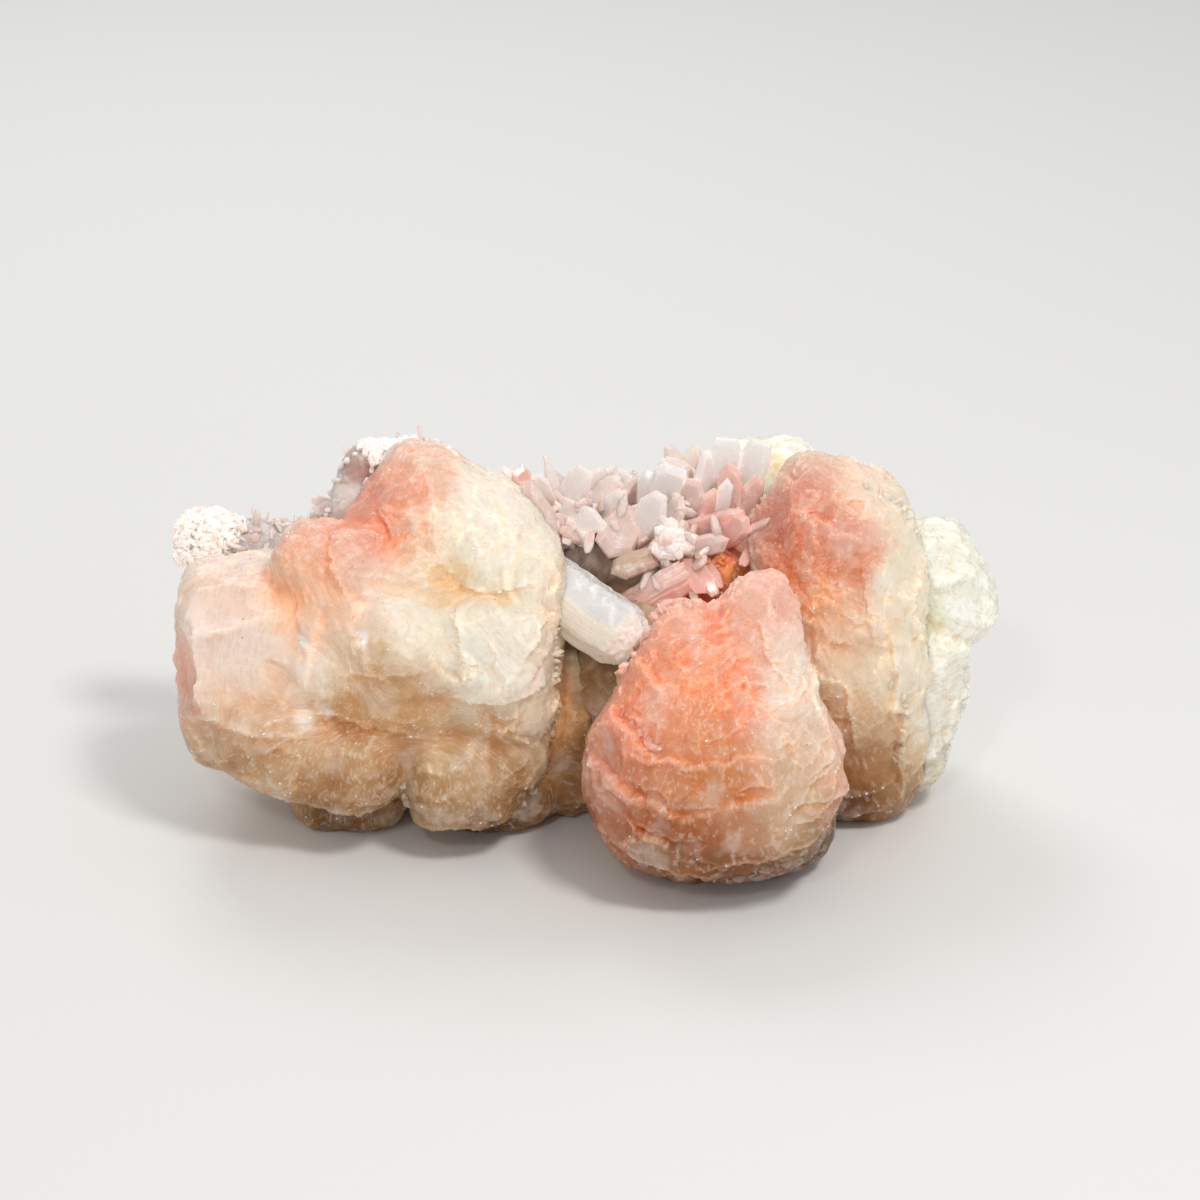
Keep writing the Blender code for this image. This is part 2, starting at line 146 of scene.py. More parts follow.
# A lobe is its root, how strongly it is ledged, and its rounded knuckles, each a centre,
# three radii, a turn in degrees and a squareness (2 is an ellipsoid, more is blockier).
LEFT_LOBES = (
    ((-26.0, -3.0, 46.0), 0.9, (
        ((-27.5, 9.0, 56.0), (8.0, 9.5, 9.5), (0, 10, 0), 2.6),
        ((-14.5, 7.0, 47.0), (8.5, 11.0, 11.0), (0, 20, 0), 2.6),
        ((-35.0, 7.0, 49.0), (6.0, 8.0, 8.0), FLAT, 2.4),
        ((-26.5, -1.5, 49.5), (5.0, 6.0, 9.0), FLAT, 2.4),
        ((-11.5, 1.0, 41.0), (6.5, 9.0, 5.0), FLAT, 2.6),
        ((-9.5, -2.5, 44.5), (6.5, 8.8, 8.0), FLAT, 2.5))),
    ((-26.0, -3.0, 46.0), 0.6, (
        ((-19.0, -3.0, 44.5), (9.0, 7.0, 5.5), FLAT, 2.4),
        ((-31.0, -3.5, 47.0), (5.5, 6.5, 6.5), FLAT, 2.4))),
    ((-42.0, -4.0, 43.0), 0.5, (((-45.0, -1.0, 47.5), (7.0, 9.0, 8.0), (0, -6, 0), 2.4),)),
    ((-41.0, -4.0, 43.0), 0.5, (((-37.5, -2.5, 48.5), (6.2, 8.5, 8.0), FLAT, 2.4),)),
    ((-41.5, -4.0, 43.0), 0.5, (((-41.5, -2.5, 47.0), (5.0, 8.6, 8.0), FLAT, 2.4),)),
    ((-39.0, -6.0, 37.0), 0.5, (
        ((-41.5, -3.0, 40.5), (8.0, 11.0, 10.0), FLAT, 2.4),
        ((-30.0, -6.0, 37.5), (10.0, 13.0, 9.0), FLAT, 2.6))),
    ((-39.0, -9.0, 33.0), 0.8, (
        ((-57.0, 0.5, 32.5), (11.6, 14.5, 13.5), (0, 0, 6), 4.0),
        ((-57.3, -2.5, 20.5), (11.2, 12.0, 9.5), (0, 10, 0), 2.6))),
    ((-39.0, -9.0, 33.0), 0.7, (((-51.0, 2.0, 38.0), (9.0, 11.5, 8.0), FLAT, 3.4),)),
    ((-27.0, -12.0, 30.0), 1.0, (
        ((-16.0, -6.0, 36.5), (11.5, 12.5, 10.0), (0, 0, -14), 3.2),
        ((-14.0, -5.0, 27.0), (10.0, 12.0, 9.0), (0, 0, -10), 2.8))),
    ((-30.0, -9.0, 30.0), 0.6, (
        ((-27.0, -9.0, 36.5), (8.0, 9.5, 8.0), FLAT, 2.4),
        ((-41.0, -7.0, 33.0), (9.0, 9.0, 9.0), FLAT, 2.4))),
    ((-24.0, -10.0, 27.0), 1.0, (
        ((-20.0, -9.0, 13.5), (11.0, 11.5, 9.5), FLAT, 2.5),
        ((-13.0, -6.0, 17.0), (8.0, 10.0, 8.0), FLAT, 2.4))),
    ((-39.0, -9.0, 31.0), 0.7, (
        ((-52.0, -5.0, 20.0), (12.5, 13.0, 10.0), (0, 14, 0), 2.6),
        ((-39.0, -8.0, 16.5), (10.5, 12.0, 9.5), FLAT, 2.5))),
    ((-33.0, -8.0, 29.0), 0.6, (
        ((-31.0, -5.0, 22.0), (12.0, 11.0, 10.0), FLAT, 2.3),
        ((-28.0, -7.0, 28.0), (13.0, 9.5, 8.5), FLAT, 2.4),
        ((-45.0, -6.0, 27.0), (9.0, 9.5, 9.0), FLAT, 2.4))),
    ((-38.0, 0.0, 16.0), 0.4, (((-41.0, 1.0, 6.0), (11.0, 11.5, 7.2), FLAT, 3.0),)),
    ((-18.0, 2.0, 18.0), 0.5, (((-16.0, 1.5, 6.5), (13.0, 13.0, 8.0), FLAT, 2.8),)),
    ((-10.0, 0.0, 24.0), 0.8, (
        ((-4.5, 3.5, 10.5), (9.0, 10.5, 11.5), FLAT, 2.6),
        ((-4.5, 6.0, 23.0), (8.0, 10.0, 9.0), FLAT, 2.4))),
    ((-32.0, 16.0, 44.0), 0.9, (
        ((-30.0, 17.0, 32.0), (17.0, 12.0, 16.0), FLAT, 2.6),
        ((-30.0, 14.0, 14.0), (17.0, 13.0, 13.0), FLAT, 2.6))),
    ((-44.0, 12.0, 34.0), 0.9, (((-52.0, 14.0, 22.0), (11.0, 10.0, 15.0), (0, 0, 20), 2.6),)),
    ((-20.0, 14.0, 36.0), 0.9, (((-13.0, 18.0, 20.0), (12.0, 11.0, 17.0), (0, 0, -15), 2.6),)),
)

# Plate edges that stand proud: a point on the edge, the way to its raised side, how far the
# edge runs, and its height.
LEFT_STEPS = (
    ((-69.5, -6.0, 33.0), (1.0, -0.1, 0.05), 13.0, 1.1),
    ((-67.0, -10.0, 30.0), (1.0, -0.1, 0.0), 12.0, 1.1),
    ((-64.5, -12.5, 34.0), (1.0, 0.0, 0.1), 10.0, 0.8),
    ((-45.0, -14.0, 38.0), (-1.0, 0.0, 0.2), 8.0, 0.9),
    ((-55.0, -14.0, 24.0), (0.1, 0.0, 1.0), 12.0, 0.8),
    ((-56.0, -10.0, 43.0), (0.2, 0.0, -1.0), 9.0, 0.8),
    ((-20.5, -16.5, 41.0), (1.0, 0.0, 0.1), 8.0, 1.0),
    ((-14.5, -17.5, 37.0), (1.0, 0.0, 0.3), 7.0, 0.8),
    ((-13.0, -16.5, 31.5), (-0.1, 0.0, 1.0), 9.0, 1.2),
    ((-8.5, -13.0, 40.0), (-1.0, 0.0, 0.4), 8.0, 0.8),
    ((-33.0, -17.5, 35.5), (-0.2, 0.0, 1.0), 9.0, 0.8),
    ((-36.0, -16.0, 25.0), (0.3, 0.0, 1.0), 11.0, 0.7),
    ((-21.0, -17.5, 7.5), (0.0, 0.0, 1.0), 12.0, 1.1),
    ((-45.0, -14.0, 10.5), (0.1, 0.0, 1.0), 13.0, 1.0),
    ((-15.0, -9.0, 47.6), (0.0, 0.3, 1.0), 9.0, 0.9),
    ((-6.0, -12.0, 38.0), (-0.7, 0.0, 0.5), 8.0, 0.9),
    ((-14.0, -5.0, 53.5), (-0.4, 0.0, 1.0), 9.0, 0.6),
    ((-25.5, -3.5, 57.0), (1.0, 0.0, 0.2), 10.0, 0.7),
    ((-34.0, 0.0, 57.0), (1.0, 0.0, 0.6), 8.0, 0.7),
    ((-41.5, -7.5, 51.0), (1.0, 0.0, 0.3), 7.0, 0.9),
    ((-40.0, 26.0, 36.0), (0.3, 0.0, 1.0), 16.0, 1.0),
    ((-20.0, 29.0, 24.0), (-0.4, 0.0, 1.0), 16.0, 1.0),
    ((-56.0, 20.0, 20.0), (-0.6, 0.2, 0.8), 13.0, 0.9),
)
# Creases between lobes: two ends, how wide and how deep.
LEFT_CREASES = (
    ((-31.0, -5.5, 52.0), (-24.5, -8.0, 48.2), 1.3, 0.9),
    ((-24.5, -8.0, 48.2), (-13.0, -9.0, 47.4), 1.2, 0.9),
    ((-51.5, -8.0, 48.0), (-43.0, -13.0, 43.5), 2.2, 0.8),
    ((-41.5, -6.0, 54.0), (-41.8, -10.0, 50.0), 1.2, 0.5),
    ((-33.0, -16.0, 14.0), (-27.0, -14.0, 22.0), 1.6, 0.8),
    ((-31.0, -12.0, 4.0), (-33.0, -16.0, 14.0), 1.8, 1.0),
)

# Single flat faces: a point on the face, which way it looks, and how far it reaches.
LEFT_FACES = (
    ((-36.5, 2.0, 57.2), (-0.65, -0.45, 0.6), 7.0),
    ((-31.5, 3.5, 62.3), (-0.35, -0.2, 0.9), 6.0),
    ((-58.0, -13.3, 36.0), (-0.05, -1.0, 0.12), 9.0),
    ((-66.8, -7.0, 33.0), (-0.85, -0.5, 0.1), 10.0),
    ((-61.0, -9.0, 43.6), (-0.1, -0.45, 0.9), 8.0),
)
LEFT_DIRT = (((-20.0, -6.0, 54.0), 9.0), ((-24.0, -9.0, 48.0), 6.0), ((-28.0, -17.0, 32.0), 8.0))

CREAM = (0.88, 0.79, 0.61)
PALE = (0.94, 0.90, 0.79)
SALMON = (0.87, 0.32, 0.20)
PINK = (0.93, 0.58, 0.46)
PEACH = (0.92, 0.56, 0.38)
ORANGE = (0.93, 0.41, 0.17)
TAN = (0.62, 0.31, 0.10)
WHITE = (0.94, 0.92, 0.88)
ROSE = (0.74, 0.31, 0.24)
STAIN = (0.94, 0.62, 0.28)
LOW_TAN_AND_SHADE = (1.0, 0.79, 0.55)           # how far the lower part turns tan, partly its own tan and partly painted shade, as a share of its colour
WARMTH_FROM, WARMTH_TO = 36.0, 8.0
FOOT_STAIN_AND_SHADE = (0.36, 0.25, 0.16)            # and how far it darkens below that, partly stain and partly painted shade
FOOT_FROM, FOOT_TO = 34.0, 2.0
BACK_STAIN_AND_SHADE = 0.45                    # share of both that the back has, as the painted shade lies mostly on the front
HOLLOW_SHADE = (1.0, 0.72, 0.50)             # painted shade: what a deep hollow keeps of its colour, and its share
HOLLOW_SHADE_SHARE = 0.45
# How much paler plate edges and crests are: partly milky plate ends, partly a painted highlight.
EDGE_PALENESS_AND_HIGHLIGHT = 0.45

# Where the colour lies: centre, reach, colour, strength. Later ones lie over earlier ones.
LEFT_TINTS = (
    ((-58.0, -14.0, 37.0), 18.0, (0.99, 0.80, 0.70), 0.90),
    ((-54.0, -14.0, 28.0), 11.0, (0.99, 0.74, 0.56), 0.60),
    ((-60.0, -14.0, 17.0), 10.0, (0.74, 0.48, 0.27), 0.45),
    ((-69.0, -7.0, 30.0), 10.0, (0.92, 0.42, 0.29), 0.85),
    ((-60.0, -1.0, 47.0), 14.0, PINK, 0.60),
    ((-41.0, -7.0, 52.0), 13.0, PINK, 0.95),
    ((-45.0, -4.0, 54.0), 10.0, SALMON, 0.55),
    ((-47.0, -10.0, 46.0), 10.0, (0.99, 0.50, 0.25), 0.60),
    ((-37.0, -13.0, 44.0), 9.0, PEACH, 0.60),
    ((-33.0, 2.0, 57.5), 15.0, SALMON, 0.88),
    ((-37.0, 8.0, 58.0), 7.0, ROSE, 0.60),
    ((-27.0, -5.0, 55.0), 7.0, PEACH, 0.55),
    ((-14.0, 0.0, 55.0), 12.0, PALE, 0.75),
    ((-15.0, 10.0, 60.0), 11.0, (0.97, 0.86, 0.74), 0.70),
    ((-27.0, 11.0, 65.0), 8.0, (0.90, 0.56, 0.44), 0.65),
    ((-57.0, 9.0, 45.0), 12.0, (0.97, 0.80, 0.72), 0.80),
    ((-43.0, 6.0, 54.0), 8.0, (0.92, 0.50, 0.40), 0.60),
    ((-22.0, -9.0, 48.5), 5.0, STAIN, 0.55),
    ((-14.0, -9.0, 47.4), 3.0, STAIN, 0.45),
    ((-29.0, -7.0, 51.0), 4.5, ORANGE, 0.35),
    ((-14.0, -16.0, 38.0), 11.0, PALE, 0.85),
    ((-30.0, -12.0, 45.0), 7.0, PALE, 0.55),
    ((-32.0, -18.0, 31.0), 13.0, TAN, 0.84),
    ((-43.0, -15.0, 20.0), 15.0, TAN, 0.60),
    ((-17.0, -16.0, 22.0), 9.0, TAN, 0.56),
    ((-20.0, -19.0, 18.0), 7.0, (0.82, 0.68, 0.48), 0.45),
    # Dark browns where the mass meets the floor: partly its own colour, partly painted shade.
    ((-41.0, -12.0, 4.0), 9.0, (0.38, 0.29, 0.20), 0.80),
    ((-17.0, -14.0, 3.0), 10.0, (0.20, 0.09, 0.025), 0.90),
    ((-3.0, -4.0, 22.0), 11.0, (0.92, 0.62, 0.33), 0.85),
    ((-5.0, -7.0, 7.0), 9.0, (0.80, 0.58, 0.34), 0.65),
    ((0.0, -4.0, 14.0), 6.0, TAN, 0.40),
    ((-46.5, -14.0, 40.0), 1.7, WHITE, 0.95),
    ((-36.4, -17.0, 42.0), 1.7, WHITE, 0.90),
    ((-46.5, -16.0, 26.5), 2.6, WHITE, 0.85),
    ((-43.0, -16.0, 28.0), 1.8, WHITE, 0.85),
    ((-20.0, -19.5, 19.0), 3.5, WHITE, 0.45),
    ((-21.2, -17.6, 36.0), 0.35, (0.02, 0.015, 0.01), 1.0),
    ((-30.0, 28.0, 44.0), 14.0, PINK, 0.55),
    ((-56.0, 24.0, 26.0), 12.0, PEACH, 0.60),
    ((-20.0, 30.0, 14.0), 16.0, TAN, 0.60),
)


def knuckle_points(centre, radii, turn, squareness):
    """Points all over one rounded, more or less blocky knuckle."""
    ball = bmesh.new()
    bmesh.ops.create_icosphere(ball, subdivisions=4, radius=1.0)
    spin = Euler([math.radians(angle) for angle in turn]).to_matrix()
    points = []
    for vert in ball.verts:
        size = sum(abs(part) ** squareness for part in vert.co) ** (1.0 / squareness)
        point = Vector([part / size * radius for part, radius in zip(vert.co, radii)])
        points.append((spin @ point + Vector(centre)) * MM)
    ball.free()
    return points


def add_hull(mesh, points):
    verts = [mesh.verts.new(point) for point in points]
    made = bmesh.ops.convex_hull(mesh, input=verts)
    spare = [item for item in made["geom_interior"] + made["geom_unused"]
             if isinstance(item, bmesh.types.BMVert)]
    bmesh.ops.delete(mesh, geom=list(set(spare)), context="VERTS")


def new_object(name, mesh):
    data = bpy.data.meshes.new(name)
    mesh.to_mesh(data)
    mesh.free()
    obj = bpy.data.objects.new(name, data)
    bpy.context.collection.objects.link(obj)
    return obj


def settle(obj):
    """Take what the modifiers make as the object's own mesh."""
    graph = bpy.context.evaluated_depsgraph_get()
    graph.update()
    made = bpy.data.meshes.new_from_object(obj.evaluated_get(graph))
    obj.modifiers.clear()
    obj.data = made


def fused_skin(name, lobes, grain, smoothing):
    """One closed skin round all the lobes, with the creases between them softened."""
    mesh = bmesh.new()
    for _, _, knuckles in lobes:
        add_hull(mesh, [point for knuckle in knuckles for point in knuckle_points(*knuckle)])
    bmesh.ops.recalc_face_normals(mesh, faces=mesh.faces)
    obj = new_object(name, mesh)
    remesh = obj.modifiers.new("fuse", "REMESH")
    remesh.mode = "VOXEL"
    remesh.voxel_size = grain * MM
    soften = obj.modifiers.new("soften", "SMOOTH")
    soften.iterations = smoothing
    soften.factor = 0.5
    settle(obj)
    return obj


def places_of(obj):
    """Corner places in millimetres, and the normals there."""
    count = len(obj.data.vertices)
    place = np.empty(count * 3)
    normal = np.empty(count * 3)
    obj.data.vertices.foreach_get("co", place)
    obj.data.vertices.foreach_get("normal", normal)
    return place.reshape(-1, 3) / MM, normal.reshape(-1, 3)


def put_places(obj, place):
    """Set the corner places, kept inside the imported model's box."""
    low = np.array(CAD_BOX[0]) / MM + BOX_MARGIN
    high = np.array(CAD_BOX[1]) / MM - BOX_MARGIN
    low[2] = BELOW_FLOOR
    obj.data.vertices.foreach_set("co", (np.clip(place, low, high) * MM).ravel())
    obj.data.update()


def keep_above_floor(obj, gap):
    """Push what lies lower than the gap above the floor up to it."""
    place, _ = places_of(obj)
    place[:, 2] = np.maximum(place[:, 2], gap)
    put_places(obj, place)


def rest_flat(obj):
    """Cut the piece off flat at the floor."""
    mesh = bmesh.new()
    mesh.from_mesh(obj.data)
    cut = bmesh.ops.bisect_plane(mesh, geom=mesh.verts[:] + mesh.edges[:] + mesh.faces[:],
                                 plane_co=(0, 0, 0), plane_no=(0, 0, -1), clear_outer=True)
    rim = [item for item in cut["geom_cut"] if isinstance(item, bmesh.types.BMEdge)]
    if rim:
        made = bmesh.ops.holes_fill(mesh, edges=rim, sides=0)
        bmesh.ops.triangulate(mesh, faces=made["faces"])
        bmesh.ops.recalc_face_normals(mesh, faces=mesh.faces)
    mesh.to_mesh(obj.data)
    mesh.free()


GRADIENTS = np.random.default_rng(11).normal(size=(4096, 3))
GRADIENTS /= np.linalg.norm(GRADIENTS, axis=1)[:, None]


def scramble(cell, seed):
    """A random number below 4096 for each whole cell."""
    key = cell[:, 0] * 73856093 ^ cell[:, 1] * 19349663 ^ cell[:, 2] * 83492791 ^ seed * 2654435761
    key = (key ^ (key >> 13)) * 1274126177
    return (key ^ (key >> 16)) & 4095


def ripple(place, seed=0):
    """Smooth noise, about -1 to 1."""
    cell = np.floor(place).astype(np.int64)
    part = place - cell
    fade = part ** 3 * (part * (part * 6 - 15) + 10)
    total = np.zeros(len(place))
    for corner in product((0, 1), repeat=3):
        offset = np.array(corner)
        gradient = GRADIENTS[scramble(cell + offset, seed)]
        weight = np.where(offset, fade, 1 - fade).prod(axis=1)
        total += weight * ((part - offset) * gradient).sum(axis=1)
    return total * 1.7


def cells(place, seed=0):
    """For one random point in each unit cell: the nearest two's distances, then the nearest
    one's chance, and how high its own tilted facet stands here."""
    cell = np.floor(place).astype(np.int64)
    best = np.full(len(place), 9.0)
    second = np.full(len(place), 9.0)
    chance = np.zeros(len(place))
    facet = np.zeros(len(place))
    for step in product((-1, 0, 1), repeat=3):
        near = cell + np.array(step)
        key = scramble(near, seed)
        away = place - near - 0.5 - GRADIENTS[key] * 0.45
        gap = np.linalg.norm(away, axis=1)
        closer = gap < best
        tilted = (away * GRADIENTS[(key * 5 + 17) & 4095]).sum(axis=1)
        facet = np.where(closer, tilted, facet)
        second = np.where(closer, best, np.minimum(second, gap))
        chance = np.where(closer, key / 4095.0, chance)
        best = np.where(closer, gap, best)
    return best, second, chance, facet


def sawtooth(reach, rise):
    """A ledge in every unit of reach: it climbs for the rise's share and drops back after it."""
    ramp = reach - np.floor(reach)
    return np.minimum(ramp / rise, (1 - ramp) / (1 - rise)) - 0.5


def smooth_step(value, low, high):
    ramp = np.clip((value - low) / (high - low), 0, 1)
    return ramp * ramp * (3 - 2 * ramp)


def cad_swell(place, normal, root, seed, lumps, ledges):
    """The same low swellings and ledges as the solid has."""
    shift = Vector((seed * 17.3, seed * 5.9, seed * 11.1))
    swell = np.empty(len(place))
    wander = np.empty(len(place))
    for index, spot in enumerate(place):
        spot = Vector(spot)
        swell[index] = noise.noise(spot / CAD_LUMP + shift)
        wander[index] = noise.noise(spot / (2.0 * CAD_LUMP) - shift)
    reach = np.linalg.norm(place - np.array(root), axis=1) + CAD_LEDGE_WANDER * wander
    height = lumps * swell + ledges * sawtooth(reach / CAD_LEDGE_STEP, CAD_LEDGE_SLOPE)
    return place + normal * height[:, None]


def lobe_of(place, lobes):
    """For each place, its lobe."""
    near = []
    for _, _, knuckles in lobes:
        size = [np.linalg.norm((place - np.array(centre)) / np.array(radii), axis=1)
                for centre, radii, _, _ in knuckles]
        near.append(np.min(size, axis=0))
    return np.argmin(near, axis=0)


def averager(obj, count):
    """A function that averages a value over each corner's neighbours."""
    edges = np.empty(len(obj.data.edges) * 2, dtype=np.int32)
    obj.data.edges.foreach_get("vertices", edges)
    first, second = edges.reshape(-1, 2).T
    both = np.concatenate([first, second])
    other = np.concatenate([second, first])
    share = 1.0 / np.maximum(np.bincount(both, minlength=count), 1)

    def average(value):
        if value.ndim == 1:
            return np.bincount(both, weights=value[other], minlength=count) * share
        return np.stack([average(column) for column in value.T], axis=1)

    return average


def standing_out(place, normal, average, rounds):
    """How far each corner stands out from its surroundings."""
    smooth = place
    for _ in range(rounds):
        smooth = average(smooth)
    return average(((place - smooth) * normal).sum(axis=1))


def set_field(obj, name, values):
    """Keep one value, direction or colour for each corner, for the material to read."""
    kind, slot = {1: ("FLOAT", "value"), 3: ("FLOAT_VECTOR", "vector"),
                  4: ("FLOAT_COLOR", "color")}[values.shape[1]]
    layer = obj.data.attributes.new(name, kind, "POINT")
    layer.data.foreach_set(slot, values.astype(np.float32).ravel())


def plate_steps(place, steps, fray):
    """Raised plate edges, ragged by the fray."""
    height = np.zeros(len(place))
    for point, raised, run, rise in steps:
        away = place - np.array(point)
        raised = np.array(raised) / np.linalg.norm(raised)
        past = away @ raised + fray
        spread = np.linalg.norm(away, axis=1) / run
        share = (1 - smooth_step(spread, 0.45, 1.1)) * rise
        fading = np.exp(-np.maximum(past, 0) / (0.6 * run))
        height += share * smooth_step(past, -0.14, 0.14) * fading
    return height


def flat_faces(place, cuts):
    """Single flat crystal faces: what stands above each plane is pressed down to it."""
    for point, way, reach in cuts:
        way = np.array(way) / np.linalg.norm(way)
        above = np.maximum((place - np.array(point)) @ way, 0)
        spread = np.linalg.norm(place - np.array(point), axis=1) / reach
        place = place - (above * (1 - smooth_step(spread, 0.40, 1.0)))[:, None] * way
    return place


def creases(place, grooves, fray):
    """How deep the grooves between lobes are at each place."""
    depth = np.zeros(len(place))
    for first, second, width, deep in grooves:
        first = np.array(first)
        along = np.array(second) - first
        part = np.clip((place - first) @ along / (along @ along), 0, 1)
        gap = np.linalg.norm(place - first - part[:, None] * along, axis=1) + 0.3 * fray
        depth += deep * np.exp(-(gap / width) ** 2)
    return depth


def sheaf_relief(obj, lobes, steps, grooves, cuts, seed, strength, ribs):
    """Ledges, ragged plate ends and creases, and the fan directions for the material."""
    place, normal = places_of(obj)
    average = averager(obj, len(place))
    lobe = lobe_of(place, lobes)
    rough = np.array([amount for _, amount, _ in lobes])[lobe]
    roots = np.array([root for root, _, _ in lobes])[lobe]
    for _ in range(ROOT_BLENDING):
        rough = average(rough)
        roots = average(roots)
    away = place - roots
    reach = np.linalg.norm(away, axis=1)
    fan = away / reach[:, None]
    plates = fan * PLATE_RADIUS
    crest = smooth_step(standing_out(place, normal, average, 6), 0.03, 0.12)
    wander = 2.2 * ripple(place / 8.0, seed) + 0.8 * ripple(place / 2.8, seed + 1)
    _, _, block, face = cells(plates / BUNDLE_WIDTH + 0.1 * wander[:, None], seed + 2)
    near, second, chance, chip = cells(plates / PLATE_WIDTH, seed + 3)
    teeth = 0.7 * chance + 0.6 * (second - near)
    patch = smooth_step(ripple(place / 7.0, seed + 4), -0.45, 0.55)
    fine = smooth_step(ripple(place / 4.5, seed + 5), -0.35, 0.45)
    amount = rough * (0.25 + 0.75 * patch) * strength * smooth_step(reach, 2.0, 6.0)
    ledge = sawtooth((reach + wander + 1.6 * block + 0.6 * teeth) / LEDGE_SPACING, 0.92)
    fine_ledge = sawtooth((reach + 0.7 * wander + 0.9 * teeth) / FINE_LEDGE_SPACING, 0.75)
    height = LEDGE_HEIGHT * ledge * amount + FINE_LEDGE_HEIGHT * fine_ledge * amount * fine
    height += (BUNDLE_SLANT * face * (0.3 + 0.7 * amount) + PLATE_SLANT * chip * fine) * strength
    height += 0.22 * ripple(place / 5.0, seed + 8) + 0.10 * ripple(place / 2.2, seed + 9)
    height += 0.04 * ripple(place / 1.1, seed + 6)
    rib = ripple(plates / 1.6 + 0.1 * wander[:, None], seed + 7)
    height += ribs * rib * smooth_step(reach, 4.0, 9.0)
    fray = 0.8 * (teeth - 0.6) + 0.4 * wander
    height += plate_steps(place, steps, fray) - 0.8 * creases(place, grooves, teeth)
    place = place + normal * height[:, None]
    place += fan * (0.40 * (teeth - 0.6) * crest * rough * strength)[:, None]
    put_places(obj, flat_faces(place, cuts))
    set_field(obj, "fan", plates)
    set_field(obj, "reach", (reach + 0.5 * wander)[:, None])
    place, normal = places_of(obj)
    # Crest and hollow masks: paler crests carry a painted highlight, and hollows get painted shade.
    edge = smooth_step(standing_out(place, normal, average, 3), 0.015, 0.09)
    small = smooth_step(-standing_out(place, normal, average, 10), 0.02, 0.16)
    large = smooth_step(-standing_out(place, normal, average, 90), 0.10, 0.90)
    return edge, np.clip(0.5 * small + large, 0, 1)


def tint(obj, ground, tints, dirt, edge, hollow, foot, seed):
    """Lay the colours on in soft clouds, tan and darker low down as stain with painted shade, paler
    along the plate edges with a painted highlight, and deeper in hollows as painted shade.
    """
    place, _ = places_of(obj)
    cloud = np.stack([ripple(place / 9.0, seed + axis) for axis in range(3)], axis=1)
    crumb = np.stack([ripple(place / 3.0, seed + 5 + axis) for axis in range(3)], axis=1)
    colour = np.tile(np.array(ground, float), (len(place), 1))
    for centre, size, hue, strength in tints:
        drift = cloud * min(3.5, 0.35 * size) + crumb * min(1.2, 0.22 * size)
        gap = np.linalg.norm(place + drift - np.array(centre), axis=1) / size
        share = (1 - smooth_step(gap, 0.30, 1.20))[:, None] * strength
        colour = colour * (1 - share) + np.array(hue) * share
    # Lower down the colour turns tan and darker: partly its own stain, partly painted shade, full
    # on the front and weaker at the back.
    drift = 7.0 * ripple(place / 20.0, seed + 9) + 6.0 * cloud[:, 0] + 2.5 * crumb[:, 1]
    down = drift - place[:, 2]
    stain_and_shade = foot * (1 - (1 - BACK_STAIN_AND_SHADE) * smooth_step(place[:, 1], 0.0, 16.0))
    for share, top, bottom in ((LOW_TAN_AND_SHADE, WARMTH_FROM, WARMTH_TO), (FOOT_STAIN_AND_SHADE, FOOT_FROM, FOOT_TO)):
        low = (stain_and_shade * smooth_step(down, -top, -bottom))[:, None]
        colour = colour * (1 - low) + colour * np.array(share) * low
    # Painted shade in the hollows, in a deeper, warmer tone.
    painted_shade = (HOLLOW_SHADE_SHARE * hollow)[:, None]
    colour = colour * (1 - painted_shade) + colour * np.array(HOLLOW_SHADE) * painted_shade
    # Paler plate edges and crests: partly milky plate ends, partly a painted highlight.
    pale_edge_and_highlight = (EDGE_PALENESS_AND_HIGHLIGHT * edge)[:, None]
    colour = colour * (1 - pale_edge_and_highlight) + np.sqrt(colour) * pale_edge_and_highlight
    soil = np.zeros(len(place))
    for centre, size in dirt:
        gap = np.linalg.norm(place + 2.0 * crumb - np.array(centre), axis=1) / size
        soil = np.maximum(soil, 1 - smooth_step(gap, 0.5, 1.1))
    set_field(obj, "dirt", soil[:, None])
    set_field(obj, "tint", np.concatenate([colour, np.ones((len(place), 1))], axis=1))
    set_field(obj, "edge", edge[:, None])


def node_maker(tree):
    """A short way to add nodes, with values or other nodes' outputs as inputs."""

    def make(kind, inputs=None, **settings):
        node = tree.nodes.new(kind)
        for key, value in settings.items():
            setattr(node, key, value)
        for key, value in (inputs or {}).items():
            if isinstance(value, bpy.types.NodeSocket):
                tree.links.new(value, node.inputs[key])
            else:
                node.inputs[key].default_value = value
        return node

    return make


def blend_colours(make, share, first, second, way="MIX"):
    sides = [value if isinstance(value, bpy.types.NodeSocket) else (*value, 1)
             for value in (first, second)]
    node = make("ShaderNodeMix", {}, data_type="RGBA", blend_type=way)
    for index, value in ((0, share), (6, sides[0]), (7, sides[1])):
        if isinstance(value, bpy.types.NodeSocket):
            node.id_data.links.new(value, node.inputs[index])
        else:
            node.inputs[index].default_value = value
    return node.outputs[2]


def ramp_between(make, value, low, high, out_low=0.0, out_high=1.0):
    node = make("ShaderNodeMapRange", {0: value, 1: low, 2: high, 3: out_low, 4: out_high},
                interpolation_type="SMOOTHSTEP")
    return node.outputs[0]


def reckon(make, operation, *values):
    return make("ShaderNodeMath", dict(enumerate(values)), operation=operation).outputs[0]


def stretch(make, vector, scale):
    return make("ShaderNodeVectorMath", {0: vector, 1: (scale, scale, scale)},
                operation="MULTIPLY").outputs[0]


STILBITE_IOR = 1.50
FIBRE_WHITE = (0.98, 0.94, 0.88)
FIBRE_SHADE = (0.82, 0.63, 0.46)
HAIR_BROWN = (0.36, 0.22, 0.11)
SPECK_BROWN = (0.20, 0.11, 0.05)


